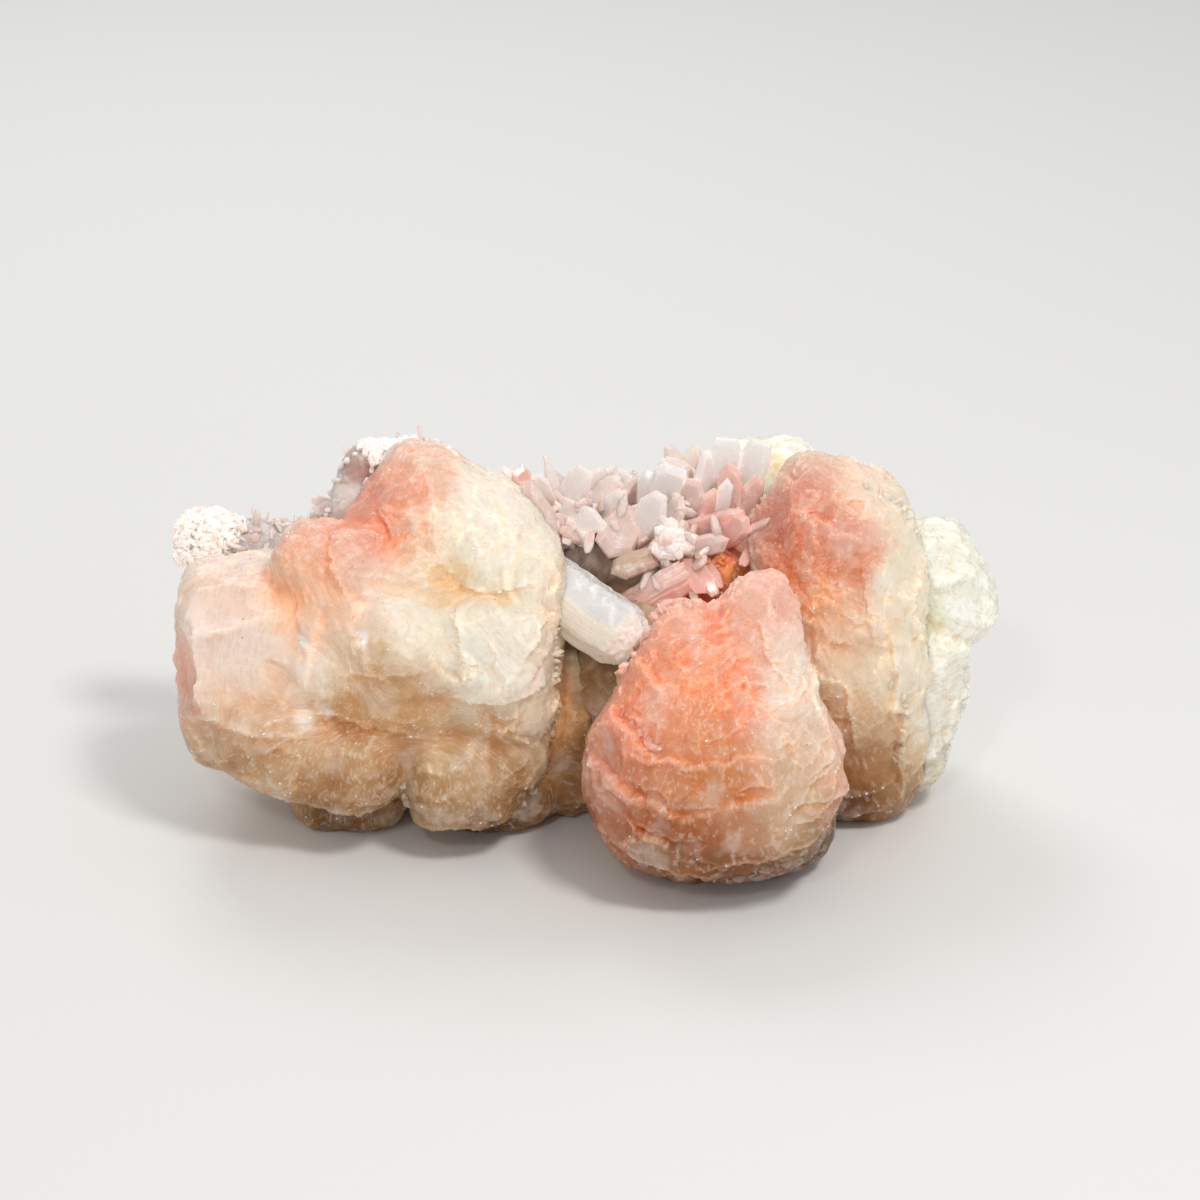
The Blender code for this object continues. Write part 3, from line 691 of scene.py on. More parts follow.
def pearly(name, depth=2.6, weight=0.85, gloss=0.40, arcs=1.0, rays=1.0, hairs=1.0,
           grain=(0.7, 0.7, 1.7), glow=(1.0, 0.50, 0.30)):
    """Pearly, waxy stilbite: light sinks in, and each plate end has its own lustre.

    Depth is how far light sinks in, in millimetres, and glow how far for each colour. Arcs,
    rays and hairs say how much of each shows, and grain how fine the plate ends are.
    """
    material = bpy.data.materials.new(name)
    material.use_nodes = True
    tree = material.node_tree
    make = node_maker(tree)
    shader = tree.nodes["Principled BSDF"]
    own = make("ShaderNodeAttribute", attribute_name="tint").outputs["Color"]
    fan = make("ShaderNodeAttribute", attribute_name="fan").outputs["Vector"]
    reach = make("ShaderNodeAttribute", attribute_name="reach").outputs["Fac"]
    edge = make("ShaderNodeAttribute", attribute_name="edge").outputs["Fac"]
    dirt = make("ShaderNodeAttribute", attribute_name="dirt").outputs["Fac"]
    place = stretch(make, make("ShaderNodeTexCoord").outputs["Object"], 1 / MM)

    def fibres(across, along):
        return make("ShaderNodeTexNoise",
                    {"Vector": stretch(make, fan, across),
                     "W": reckon(make, "MULTIPLY", reach, along),
                     "Scale": 1.0, "Detail": 1.0, "Roughness": 0.6},
                    noise_dimensions="4D").outputs["Fac"]

    def clouds(scale, detail):
        return make("ShaderNodeTexNoise", {"Vector": place, "Scale": scale, "Detail": detail,
                                           "Roughness": 0.62}).outputs["Fac"]

    growth = fibres(0.55, 2.0)
    needles = fibres(2.2, 0.25)
    cloud = clouds(0.15, 2.0)
    grit = clouds(2.4, 2.0)

    pale = blend_colours(make, 0.40, own, FIBRE_WHITE)
    colour = blend_colours(make, ramp_between(make, cloud, 0.48, 0.72, 0.0, 0.60), own, pale)
    deep = blend_colours(make, 1.0, colour, FIBRE_SHADE, "MULTIPLY")
    arc = ramp_between(make, growth, 0.36, 0.52, 0.26 * arcs, 0.0)
    colour = blend_colours(make, arc, colour, deep)
    ray = ramp_between(make, needles, 0.52, 0.70, 0.0, 0.55 * rays)
    colour = blend_colours(make, ray, colour, pale)
    thread = fibres(0.9, 2.2)
    thread = reckon(make, "ABSOLUTE", reckon(make, "SUBTRACT", thread, 0.5))
    thread = ramp_between(make, thread, 0.0, 0.006, 0.65 * hairs, 0.0)
    gather = reckon(make, "MULTIPLY", ramp_between(make, clouds(0.45, 2.0), 0.50, 0.58), dirt)
    thread = reckon(make, "MULTIPLY", thread, gather)
    colour = blend_colours(make, thread, colour, HAIR_BROWN)
    speck = make("ShaderNodeTexVoronoi", {"Vector": place, "Scale": 0.30, "Randomness": 1.0})
    dot = ramp_between(make, speck.outputs["Distance"], 0.035, 0.055, 0.75, 0.0)
    few = ramp_between(make, clouds(0.09, 0.0), 0.47, 0.52)
    colour = blend_colours(make, reckon(make, "MULTIPLY", dot, few), colour, SPECK_BROWN)
    tree.links.new(colour, shader.inputs["Base Color"])

    shine = ramp_between(make, grit, 0.35, 0.68, gloss - 0.14, gloss + 0.14)
    shine = reckon(make, "SUBTRACT", shine, reckon(make, "MULTIPLY", edge, 0.10))
    ends = make("ShaderNodeVectorMath", {0: fan, 1: grain}, operation="MULTIPLY").outputs[0]
    ends = make("ShaderNodeTexVoronoi", {"Vector": ends, "Scale": 1.0}).outputs["Color"]
    chips = make("ShaderNodeTexVoronoi", {"Vector": place, "Scale": 1.9}).outputs["Color"]
    bright = make("ShaderNodeSeparateXYZ", {0: chips}).outputs["X"]
    bright = ramp_between(make, bright, 0.86, 0.92, 0.0, 0.22)
    shine = reckon(make, "MAXIMUM", reckon(make, "SUBTRACT", shine, bright), 0.08)
    tree.links.new(shine, shader.inputs["Roughness"])
    height = reckon(make, "MULTIPLY", growth, arcs)
    height = reckon(make, "MULTIPLY_ADD", needles, 0.30 * rays, height)
    height = reckon(make, "MULTIPLY_ADD", grit, 0.05, height)
    bump = make("ShaderNodeBump", {"Strength": 0.35, "Distance": 0.22 * MM, "Height": height})
    way = bump.outputs[0]
    for ragged, turn in ((ends, 0.24), (chips, 0.20)):
        ragged = make("ShaderNodeVectorMath", {0: ragged, 1: (0.5, 0.5, 0.5)},
                      operation="SUBTRACT").outputs[0]
        ragged = stretch(make, ragged, turn)
        way = make("ShaderNodeVectorMath", {0: way, 1: ragged}, operation="ADD").outputs[0]
    way = make("ShaderNodeVectorMath", {0: way}, operation="NORMALIZE").outputs[0]
    tree.links.new(way, shader.inputs["Normal"])
    shader.subsurface_method = "BURLEY"
    shader.inputs["IOR"].default_value = STILBITE_IOR
    shader.inputs["Subsurface Weight"].default_value = weight
    shader.inputs["Subsurface Radius"].default_value = glow
    shader.inputs["Subsurface Scale"].default_value = depth * MM
    shader.inputs["Specular IOR Level"].default_value = 0.30
    return material


def dress(obj, material, slot, *nodes, flat_above=None):
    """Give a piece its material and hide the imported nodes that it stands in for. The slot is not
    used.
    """
    obj.data.materials.clear()
    obj.data.materials.append(material)
    obj.data.shade_smooth()
    if flat_above is not None:
        obj.data.set_sharp_from_angle(angle=math.radians(flat_above))
    if nodes:
        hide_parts(*nodes)
    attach(obj, "root")


def grow_sheaf(name, lobes, root, seed, grain, ground, tints, steps=(), grooves=(), dirt=(),
               cuts=(), strength=1.0, foot=1.0, lumps=1.0, ledges=0.25, smoothing=34, ribs=0.0):
    """A sheaf's whole body: its lobes fused at the grain, with relief, colours and its flat."""
    obj = fused_skin(name, lobes, grain, smoothing)
    place, normal = places_of(obj)
    put_places(obj, cad_swell(place, normal, root, seed, lumps, ledges))
    edge, hollow = sheaf_relief(obj, lobes, steps, grooves, cuts, seed * 10, strength, ribs)
    tint(obj, ground, tints, dirt, edge, hollow, foot, seed * 10 + 7)
    rest_flat(obj)
    return obj


left = grow_sheaf("left_sheaves", LEFT_LOBES, root=(-28.0, 6.0, 24.0), seed=1, grain=0.50,
                  ground=CREAM, tints=LEFT_TINTS, steps=LEFT_STEPS, grooves=LEFT_CREASES,
                  dirt=LEFT_DIRT, cuts=LEFT_FACES, ribs=0.12)
dress(left, pearly("pearly stilbite, left"), "left_sheaf", "left_sheaf_mass",
      flat_above=CRISP_ANGLE)


# Front sheaf. The nearest sheaf of stilbite plates: a body that narrows up to two crests, over
# a smoother foot that is darker, partly its own brown and partly painted shade. It grew down
# and out from the crests, so its ledges hang below them.
FRONT_LOBES = (
    ((19.5, -20.0, 42.0), 1.0, (
        ((21.8, -22.0, 19.5), (21.3, 16.5, 17.3), FLAT, 2.5),
        ((23.0, -17.0, 33.0), (14.5, 13.0, 9.0), FLAT, 2.5),
        ((17.0, -17.5, 42.5), (5.2, 7.0, 5.6), FLAT, 2.6))),
    ((21.5, -18.0, 42.0), 1.0, (
        ((29.0, -13.5, 44.0), (5.0, 8.0, 7.3), (0, 10, 0), 3.2),
        ((25.0, -15.0, 43.0), (4.5, 7.5, 5.0), (0, -30, 0), 2.8),
        ((30.0, -17.0, 31.0), (9.0, 11.0, 9.0), FLAT, 2.5))),
    ((24.0, -8.0, 24.0), 0.3, (((28.5, -16.0, 8.0), (14.8, 12.0, 9.2), FLAT, 2.7),)),
    ((22.0, -8.0, 24.0), 0.3, (((19.5, -16.0, 6.0), (13.0, 11.5, 7.2), FLAT, 2.7),)),
    ((23.0, -14.0, 25.0), 0.6, (((23.0, -7.5, 25.0), (13.0, 10.0, 16.0), FLAT, 2.5),)),
)
FRONT_STEPS = (
    ((8.0, -30.0, 32.0), (-0.6, -0.2, -0.8), 8.0, 1.5),
    ((5.0, -33.0, 25.0), (-0.55, -0.2, -0.8), 8.0, 1.4),
    ((8.0, -36.0, 18.5), (-0.5, -0.2, -0.9), 8.0, 1.2),
    ((11.0, -25.0, 40.5), (-0.7, -0.2, -0.6), 7.0, 0.9),
    ((14.0, -37.5, 10.5), (0.2, 0.0, 1.0), 11.0, 1.3),
    ((31.0, -36.5, 13.0), (-0.2, 0.0, 1.0), 12.0, 1.6),
    ((39.0, -31.0, 19.0), (-0.2, 0.0, 1.0), 8.0, 1.4),
    ((38.5, -28.0, 28.0), (-0.5, -0.3, 0.8), 8.0, 1.1),
    ((36.0, -33.0, 23.5), (-0.4, -0.3, 0.9), 7.0, 0.9),
    ((21.0, -35.5, 30.0), (0.0, 0.0, -1.0), 13.0, 0.9),
    ((25.0, -38.0, 23.0), (0.25, 0.0, -1.0), 11.0, 0.7),
    ((14.0, -37.5, 22.0), (-0.3, 0.0, -1.0), 9.0, 0.7),
    ((30.0, -24.0, 43.0), (0.8, 0.0, 0.4), 8.0, 0.8),
)
FRONT_CREASES = (
    ((22.5, -13.0, 48.5), (21.0, -24.0, 44.0), 1.6, 1.2),
    ((21.0, -24.0, 44.0), (24.0, -29.0, 38.0), 1.8, 0.5),
)
FRONT_FACES = (
    ((32.6, -16.5, 49.0), (0.75, -0.35, 0.45), 6.0),
    ((27.2, -18.6, 49.2), (-0.25, -0.65, 0.7), 5.0),
    ((4.2, -29.5, 27.5), (-0.75, -0.6, 0.1), 6.5),
    ((5.6, -32.5, 18.0), (-0.6, -0.75, 0.0), 6.0),
    ((14.5, -20.6, 47.2), (-0.2, -0.7, 0.65), 4.5),
)
FRONT_DIRT = (((28.0, -33.0, 33.0), 9.0), ((14.0, -36.0, 29.0), 8.0), ((24.0, -38.0, 26.0), 8.0))
FOOT_BROWN_AND_SHADE = (0.28, 0.14, 0.045)
GREY = (0.50, 0.40, 0.29)
FRONT_TINTS = (
    ((14.0, -28.0, 37.0), 22.0, (0.85, 0.29, 0.16), 0.92),
    ((20.0, -30.0, 38.0), 10.0, (0.90, 0.34, 0.14), 0.40),
    ((29.0, -17.0, 51.0), 9.0, (0.92, 0.50, 0.38), 0.80),
    ((22.5, -18.0, 46.0), 5.0, SALMON, 0.75),
    # Darker rose low on the left flank, partly painted shade beside the left mass.
    ((4.0, -31.0, 21.0), 12.0, (0.66, 0.26, 0.18), 0.52),
    ((37.0, -25.0, 37.0), 12.0, (0.87, 0.75, 0.63), 0.90),
    ((36.0, -34.0, 26.0), 10.0, (0.72, 0.57, 0.42), 0.75),
    ((20.0, -39.0, 23.0), 14.0, (0.60, 0.22, 0.06), 0.85),
    ((34.0, -36.0, 18.0), 9.0, (0.66, 0.53, 0.39), 0.85),
    ((13.0, -37.0, 10.5), 6.0, GREY, 0.45),
    ((12.5, -37.0, 13.3), 3.2, WHITE, 0.70),
    ((36.0, -34.5, 13.0), 7.0, (0.48, 0.38, 0.26), 0.70),
    # Darkest browns round the foot: partly its own brown, partly painted shade where it meets the
    # floor.
    ((31.0, -24.0, 3.5), 14.0, (0.26, 0.20, 0.12), 0.92),
    ((40.0, -26.0, 8.5), 9.0, (0.28, 0.22, 0.15), 0.88),
    ((22.0, -33.0, 2.0), 10.0, FOOT_BROWN_AND_SHADE, 0.70),
    ((28.0, -38.0, 9.0), 8.0, (0.44, 0.31, 0.19), 0.55),
    ((22.0, 0.0, 20.0), 12.0, TAN, 0.6),
)
front = grow_sheaf("front_sheaf_crystals", FRONT_LOBES, root=(24.0, -14.0, 36.0), seed=2,
                   grain=0.38, ground=PINK, tints=FRONT_TINTS, steps=FRONT_STEPS,
                   grooves=FRONT_CREASES, dirt=FRONT_DIRT, cuts=FRONT_FACES, ribs=0.16)
dress(front, pearly("pearly stilbite, front", grain=(0.6, 0.6, 2.1)), "front_sheaf",
      "front_sheaf", flat_above=CRISP_ANGLE)


# Right sheaf. The tallest one, behind the front sheaf. Its plates fan out from the orange
# hollow between the two, so the ledges run up and down its face.
RIGHT_LOBES = (
    ((36.0, 0.0, 45.0), 1.0, (
        ((33.5, 5.0, 50.5), (5.3, 7.0, 5.0), (0, -35, 0), 3.0),
        ((39.0, 6.5, 57.0), (5.5, 8.5, 6.3), (0, -35, 0), 3.0),
        ((47.0, 8.0, 54.0), (7.0, 10.0, 7.3), (0, 20, 0), 2.6),
        ((41.0, 4.0, 40.0), (11.0, 12.0, 10.0), FLAT, 2.6),
        ((51.5, 4.0, 42.0), (7.5, 12.0, 9.0), FLAT, 2.8))),
    ((37.5, -1.0, 42.0), 1.0, (
        ((45.5, 3.5, 28.0), (14.0, 14.5, 14.0), FLAT, 2.6),
        ((46.0, 4.5, 12.0), (14.0, 14.5, 13.0), FLAT, 2.8))),
    ((36.5, -1.0, 44.0), 1.0, (((46.0, 3.5, 36.0), (12.8, 13.2, 11.0), FLAT, 2.5),)),
    ((40.0, 14.0, 44.0), 0.9, (
        ((43.0, 15.0, 46.0), (11.0, 11.0, 12.0), FLAT, 2.5),
        ((42.0, 18.0, 20.0), (14.0, 11.0, 18.0), FLAT, 2.6))),
)
RIGHT_STEPS = (
    ((38.0, -2.0, 58.0), (-1.0, 0.0, 0.4), 7.0, 1.0),
    ((56.5, -4.0, 48.0), (-1.0, 0.0, 0.3), 10.0, 1.2),
    ((57.5, -4.0, 34.0), (-1.0, 0.0, -0.2), 10.0, 1.1),
    ((52.0, -9.0, 30.0), (1.0, 0.0, 0.1), 9.0, 0.9),
    ((54.0, -8.5, 16.0), (1.0, 0.0, 0.0), 11.0, 1.1),
    ((47.5, -7.0, 44.0), (1.0, 0.0, 0.1), 9.0, 0.7),
    ((45.0, -10.0, 24.0), (1.0, 0.0, 0.2), 9.0, 0.6),
    ((38.0, -7.5, 44.0), (0.7, 0.0, -0.7), 6.0, 0.7),
    ((50.0, 24.0, 44.0), (0.0, 0.3, 1.0), 12.0, 0.9),
    ((40.0, 28.0, 20.0), (-0.3, 0.0, 1.0), 13.0, 0.9),
)
RIGHT_CREASES = (
    ((36.0, -6.5, 46.5), (32.0, -1.0, 52.0), 1.8, 0.9),
    ((38.0, -8.5, 38.0), (36.0, -6.5, 46.5), 1.6, 0.5),
    ((55.0, -7.0, 37.5), (48.0, -10.0, 33.5), 2.2, 0.5),
)
RIGHT_FACES = (
    ((32.5, 0.2, 56.0), (-0.8, -0.35, 0.5), 8.0),
    ((38.5, 1.0, 61.0), (-0.1, -0.6, 0.8), 6.0),
    ((36.6, -5.6, 49.0), (-0.4, -0.85, 0.3), 5.0),
    ((53.8, -4.6, 49.0), (0.55, -0.75, 0.35), 6.5),
)
RIGHT_DIRT = (((50.0, -5.0, 50.0), 10.0), ((43.0, -3.0, 56.0), 8.0), ((44.0, -9.0, 34.0), 7.0))
RIGHT_TINTS = (
    ((38.0, 0.0, 59.0), 14.0, (0.72, 0.28, 0.21), 0.88),
    ((33.0, 0.0, 54.0), 9.0, (0.62, 0.20, 0.145), 0.88),
    ((41.0, -4.0, 52.0), 13.0, (0.72, 0.23, 0.12), 0.84),
    ((35.0, -6.0, 45.5), 8.5, (0.66, 0.18, 0.04), 0.90),
    ((41.0, -9.0, 40.0), 11.0, (0.84, 0.47, 0.28), 0.75),
    ((46.0, 6.0, 62.0), 9.0, PEACH, 0.60),
    ((52.0, 6.0, 58.0), 9.0, (0.96, 0.78, 0.62), 0.70),
    ((46.0, -10.0, 19.0), 14.0, TAN, 0.50),
    ((44.0, -10.0, 9.0), 11.0, TAN, 0.60),
    # Brown at the foot, partly painted shade where it meets the floor.
    ((44.0, -9.0, 2.0), 9.0, FOOT_BROWN_AND_SHADE, 0.60),
    ((56.0, -6.0, 50.0), 9.0, CREAM, 0.75),
    ((59.0, -4.0, 18.0), 8.0, PALE, 0.75),
    ((42.0, 28.0, 40.0), 14.0, PEACH, 0.50),
    ((42.0, 28.0, 10.0), 14.0, TAN, 0.50),
)
right = grow_sheaf("right_sheaf_crystals", RIGHT_LOBES, root=(46.0, 8.0, 34.0), seed=3,
                   grain=0.42, ground=CREAM, tints=RIGHT_TINTS, steps=RIGHT_STEPS,
                   grooves=RIGHT_CREASES, dirt=RIGHT_DIRT, cuts=RIGHT_FACES, ribs=0.22)
dress(right, pearly("pearly stilbite, right", grain=(2.0, 0.6, 0.6)), "right_sheaf",
      "right_sheaf", flat_above=CRISP_ANGLE)


# Far right fan. Greenish-white plates that spread from behind the right sheaf, with one
# flat plate face on them whose white is a painted reflection.
FAN_LOBES = (
    ((57.0, 2.0, 38.5), 1.0, (
        ((60.0, 12.0, 44.0), (6.0, 9.0, 6.0), FLAT, 2.5),
        ((67.0, 11.0, 36.5), (4.6, 8.5, 5.8), FLAT, 2.6),
        ((57.0, 11.0, 34.0), (8.0, 10.0, 9.0), FLAT, 2.5))),
    ((57.0, 2.0, 38.0), 1.0, (
        ((59.0, 9.0, 26.0), (7.5, 11.0, 9.0), FLAT, 2.6),
        ((55.5, 8.0, 13.5), (8.8, 12.5, 11.5), FLAT, 2.6))),
    ((50.0, 10.0, 28.0), 0.9, (((56.0, 17.0, 24.0), (8.5, 10.0, 18.0), (0, 0, -20), 2.6),)),
)
FAN_STEPS = (
    ((63.0, 3.0, 41.0), (0.3, 0.0, 1.0), 7.0, 0.6),
    ((63.0, 0.0, 30.0), (0.5, 0.0, -1.0), 8.0, 0.6),
    ((62.0, -2.0, 14.0), (-0.5, 0.0, 1.0), 8.0, 0.7),
    ((66.0, 6.0, 20.0), (0.6, 0.0, 0.7), 8.0, 0.8),
    ((64.0, 20.0, 38.0), (0.2, 0.3, 1.0), 9.0, 1.1),
    ((60.0, 26.0, 30.0), (-0.3, 0.0, 1.0), 10.0, 1.1),
    ((62.0, 22.0, 16.0), (0.3, 0.0, 1.0), 10.0, 1.0),
)
FAN_CREASES = (
    ((56.0, 0.0, 38.0), (64.0, 2.0, 33.0), 1.8, 0.8),
    ((57.0, 2.0, 40.0), (62.0, 4.0, 40.0), 1.4, 0.5),
)
FAN_FACES = (
    ((65.4, 3.0, 37.6), (0.35, -0.78, 0.50), 7.0),
    ((62.0, 5.6, 45.2), (0.1, -0.7, 0.7), 5.0),
    ((64.5, 0.6, 28.5), (0.55, -0.8, 0.1), 5.0),
)
GREENISH = (0.88, 0.90, 0.80)
SPRING = (0.68, 0.66, 0.30)
FAN_TINTS = (
    ((57.0, -2.0, 38.0), 7.0, SPRING, 0.80),
    # Near white on the flat face: a painted reflection.
    ((65.5, 2.0, 38.0), 5.0, (0.97, 0.98, 0.96), 0.9),
    ((62.0, 2.0, 20.0), 14.0, WHITE, 0.40),
    ((56.0, 0.0, 2.0), 10.0, TAN, 0.45),
    ((58.0, 24.0, 20.0), 12.0, CREAM, 0.60),
)
fan = grow_sheaf("right_fan_plates", FAN_LOBES, root=(54.0, 10.0, 34.0), seed=4, grain=0.42,
                 ground=GREENISH, tints=FAN_TINTS, steps=FAN_STEPS, grooves=FAN_CREASES,
                 cuts=FAN_FACES, foot=0.22, ribs=0.42)
dress(fan, pearly("pearly stilbite, greenish white", gloss=0.34, arcs=1.7, rays=2.0, hairs=0.3,
                  grain=(1.5, 1.5, 1.5), glow=(1.0, 0.95, 0.75)), "pale_fan", "far_right_fan")


# Back sheaf. A small, glassier sheaf of greenish-white stilbite that grew up behind the right
# sheaf's shoulder. Only its top shows from the front.
BACK_LOBES = (
    ((31.0, 24.0, 40.0), 0.8, (
        ((27.5, 25.0, 51.0), (7.5, 8.0, 8.0), FLAT, 2.5),
        ((34.5, 26.0, 50.5), (7.5, 8.0, 8.0), FLAT, 2.6),
        ((31.5, 26.5, 37.0), (9.0, 8.5, 11.0), FLAT, 2.5))),
)
BACK_STEPS = (
    ((30.0, 33.0, 51.0), (0.2, 0.0, 1.0), 10.0, 1.2),
    ((34.0, 34.0, 44.0), (-0.3, 0.0, 1.0), 10.0, 1.2),
    ((28.0, 33.0, 36.0), (0.3, 0.0, 1.0), 9.0, 1.0),
    ((31.0, 20.0, 58.0), (-1.0, 0.0, 0.2), 7.0, 0.8),
)
BACK_TINTS = (
    ((33.8, 20.5, 57.5), 4.0, STAIN, 0.55),
    ((30.0, 30.0, 34.0), 12.0, CREAM, 0.5),
)
back = grow_sheaf("back_sheaf_crystals", BACK_LOBES, root=(30.0, 22.0, 36.0), seed=5, grain=0.42,
                  ground=GREENISH, tints=BACK_TINTS, steps=BACK_STEPS, strength=1.3, foot=0.3,
                  ribs=0.35)
dress(back, pearly("glassy stilbite, greenish white", gloss=0.32, hairs=0.2,
                   glow=(1.0, 0.95, 0.75)), "pale_sheaf", "back_sheaf")


# Prism. One thick stilbite crystal that leans out between the sheaves: frosted on top, silky
# with fibres along its lower face, and rough with small bright chips round its bevelled end.
PRISM_ROOT = (-11.0, 3.5, 45.5)
PRISM_AXIS = (0.78, -0.45, -0.36)
PRISM_LENGTH = 25.5
PRISM_WIDTH = 11.6
PRISM_DEPTH = 9.6
PRISM_CHAMFER = 3.0
PRISM_ROLL = 32.0
PRISM_TIP_LENGTH = 4.0
PRISM_TIP_SCALE = 0.62
PRISM_GRAIN = 0.24
FROST_TOP = (0.74, 0.735, 0.725)
SILK = (0.92, 0.84, 0.72)
SILK_BROWN = (0.50, 0.32, 0.16)
CHIP_WHITE = (0.97, 0.97, 0.97)
LOWER_FACE = (0.0, -0.80, -0.60)    # the way that its silky side looks


def prism_frame():
    """The ways along the prism, across it and out of its upper face."""
    axis = Vector(PRISM_AXIS).normalized()
    side = axis.cross(Vector((0.0, 0.15, 1.0))).normalized()
    face = side.cross(axis)
    turned = Matrix.Rotation(math.radians(PRISM_ROLL), 3, axis)
    return axis, turned @ side, turned @ face


def prism_bar():
    axis, side, face = prism_frame()
    half_width = PRISM_WIDTH / 2
    half_depth = PRISM_DEPTH / 2
    section = []
    for across, up in ((-1, -1), (1, -1), (1, 1), (-1, 1)):
        section.append((across * half_width, up * (half_depth - PRISM_CHAMFER)))
        section.append((across * (half_width - PRISM_CHAMFER), up * half_depth))
    mesh = bmesh.new()
    rings = ((-1.0, 1.0), (PRISM_LENGTH - PRISM_TIP_LENGTH, 1.0), (PRISM_LENGTH, PRISM_TIP_SCALE))
    add_hull(mesh, [(Vector(PRISM_ROOT) + axis * along + side * across * scale
                     + face * up * scale) * MM
                    for along, scale in rings for across, up in section])
    bmesh.ops.recalc_face_normals(mesh, faces=mesh.faces)
    obj = new_object("prism_bar", mesh)
    remesh = obj.modifiers.new("mesh finely", "REMESH")
    remesh.mode = "VOXEL"
    remesh.voxel_size = PRISM_GRAIN * MM
    soften = obj.modifiers.new("soften", "SMOOTH")
    soften.iterations = 30
    settle(obj)
    return obj


def prism_relief(obj):
    """Fibres along the silky side, frosting on top, chips round the end, and their colours."""
    place, normal = places_of(obj)
    average = averager(obj, len(place))
    axis, side, face = (np.array(way) for way in prism_frame())
    away = place - np.array(PRISM_ROOT)
    local = np.stack([away @ axis, away @ side, away @ face], axis=1)
    silky = smooth_step(normal @ np.array(LOWER_FACE), -0.15, 0.35)
    end = smooth_step(local[:, 0], PRISM_LENGTH - PRISM_TIP_LENGTH - 2.0, PRISM_LENGTH - 1.0)
    threads = local * np.array((0.10, 1.6, 1.6))
    height = 0.10 * ripple(threads, 1) + 0.06 * ripple(threads * 2.3, 2)
    thread_reach = local[:, 1] + local[:, 2] * 0.6 + 0.8 * ripple(threads, 3)
    height += 0.05 * sawtooth(thread_reach / 2.3, 0.7)
    height *= 0.35 + 0.65 * silky
    _, _, chance, chip = cells(local * np.array((1.0, 1.6, 1.6)) / 0.9, 5)
    frost = smooth_step(ripple(local / 2.5, 6), -0.2, 0.5) * (1 - silky)
    height += (0.6 * (chance - 0.5) + chip) * (0.14 * frost + 0.26 * end)
    height += 0.15 * sawtooth((local[:, 0] + 2.0 * ripple(local / 3.0, 9)) / 4.0, 0.8) * (1 - silky)
    height += 0.25 * ripple(local / 4.0, 7)
    put_places(obj, place + normal * height[:, None])
    place, normal = places_of(obj)
    edge = smooth_step(standing_out(place, normal, average, 4), 0.01, 0.07)
    share = silky[:, None]
    colour = np.array(FROST_TOP) * (1 - share) + np.array(SILK) * share
    brown = (smooth_step(ripple(threads * np.array((2.0, 1.4, 1.4)), 8), 0.45, 0.75) * silky
             * (1 - smooth_step(local[:, 0], 12.0, 19.0)))[:, None]
    colour = colour * (1 - 0.5 * brown) + np.array(SILK_BROWN) * 0.5 * brown
    mottle = smooth_step(ripple(local / 1.8, 10) + 0.7 * ripple(local / 0.6, 11), -0.1, 0.5)
    chips = np.clip(edge * (0.35 + 0.65 * end) + 0.8 * frost * mottle * (1 - silky), 0, 1)[:, None]
    colour = colour * (1 - chips) + np.array(CHIP_WHITE) * chips
    set_field(obj, "tint", np.concatenate([colour, np.ones((len(place), 1))], axis=1))
    set_field(obj, "fan", local[:, [1, 2, 0]] * np.array((1.0, 1.0, 0.05)))
    set_field(obj, "reach", local[:, :1] * 0.4)
    set_field(obj, "edge", edge[:, None])
    set_field(obj, "dirt", np.zeros((len(place), 1)))


bar = prism_bar()
prism_relief(bar)
dress(bar, pearly("silky stilbite prism", depth=1.4, weight=0.7, gloss=0.28, arcs=0.0, rays=0.8,
                  hairs=0.0, grain=(2.0, 2.0, 1.0), glow=(1.0, 0.90, 0.80)), "prism",
      "prism_crystal")


# Blade crust. The stained matrix between the sheaves, warm brown, darkened in its hollows by
# painted shade, and orange by the front sheaf, with small frosted stilbite blades grown on it,
# single and in bunches.
CRUST_LOBES = (
    ((0.0, 20.0, 30.0), 0.6, (
        ((-1.0, 17.0, 42.0), (10.0, 11.0, 8.5), FLAT, 2.5),
        ((22.0, 15.0, 41.5), (10.0, 12.0, 8.5), FLAT, 2.5))),
    ((10.0, 12.0, 21.0), 0.6, (((10.0, 22.0, 21.0), (19.0, 11.5, 18.5), FLAT, 2.5),)),
    ((19.0, 22.0, 38.0), 0.6, (((19.0, 22.0, 46.0), (7.0, 8.0, 8.0), FLAT, 2.4),)),
    ((10.0, 10.0, 25.0), 0.6, (((10.0, 3.0, 25.0), (12.0, 10.0, 15.0), FLAT, 2.4),)),
)
OCHRE = (0.42, 0.24, 0.07)
SHADED_HOLLOW_BROWN = (0.13, 0.075, 0.025)
MAUVE_SKIN = (0.92, 0.74, 0.69)
CRUST_TINTS = (
    ((3.0, 0.0, 30.0), 17.0, OCHRE, 0.9),
    # Painted shade: near-black brown in the gap behind the prism and under the blades.
    ((0.0, 6.0, 44.0), 8.0, SHADED_HOLLOW_BROWN, 0.85),
    ((8.0, 3.0, 47.0), 6.0, (0.30, 0.18, 0.12), 0.60),
    ((5.0, -4.0, 32.0), 8.0, SHADED_HOLLOW_BROWN, 0.55),
    ((24.0, 4.0, 44.0), 8.5, (0.90, 0.18, 0.03), 0.97),
    ((26.0, 3.0, 44.5), 2.2, (0.96, 0.40, 0.06), 0.9),
    ((19.0, 2.0, 42.0), 4.0, (0.62, 0.14, 0.03), 0.75),
    ((-5.0, 13.0, 50.5), 4.0, (0.72, 0.22, 0.14), 0.8),
    ((10.0, 32.0, 20.0), 18.0, CREAM, 0.55),
)
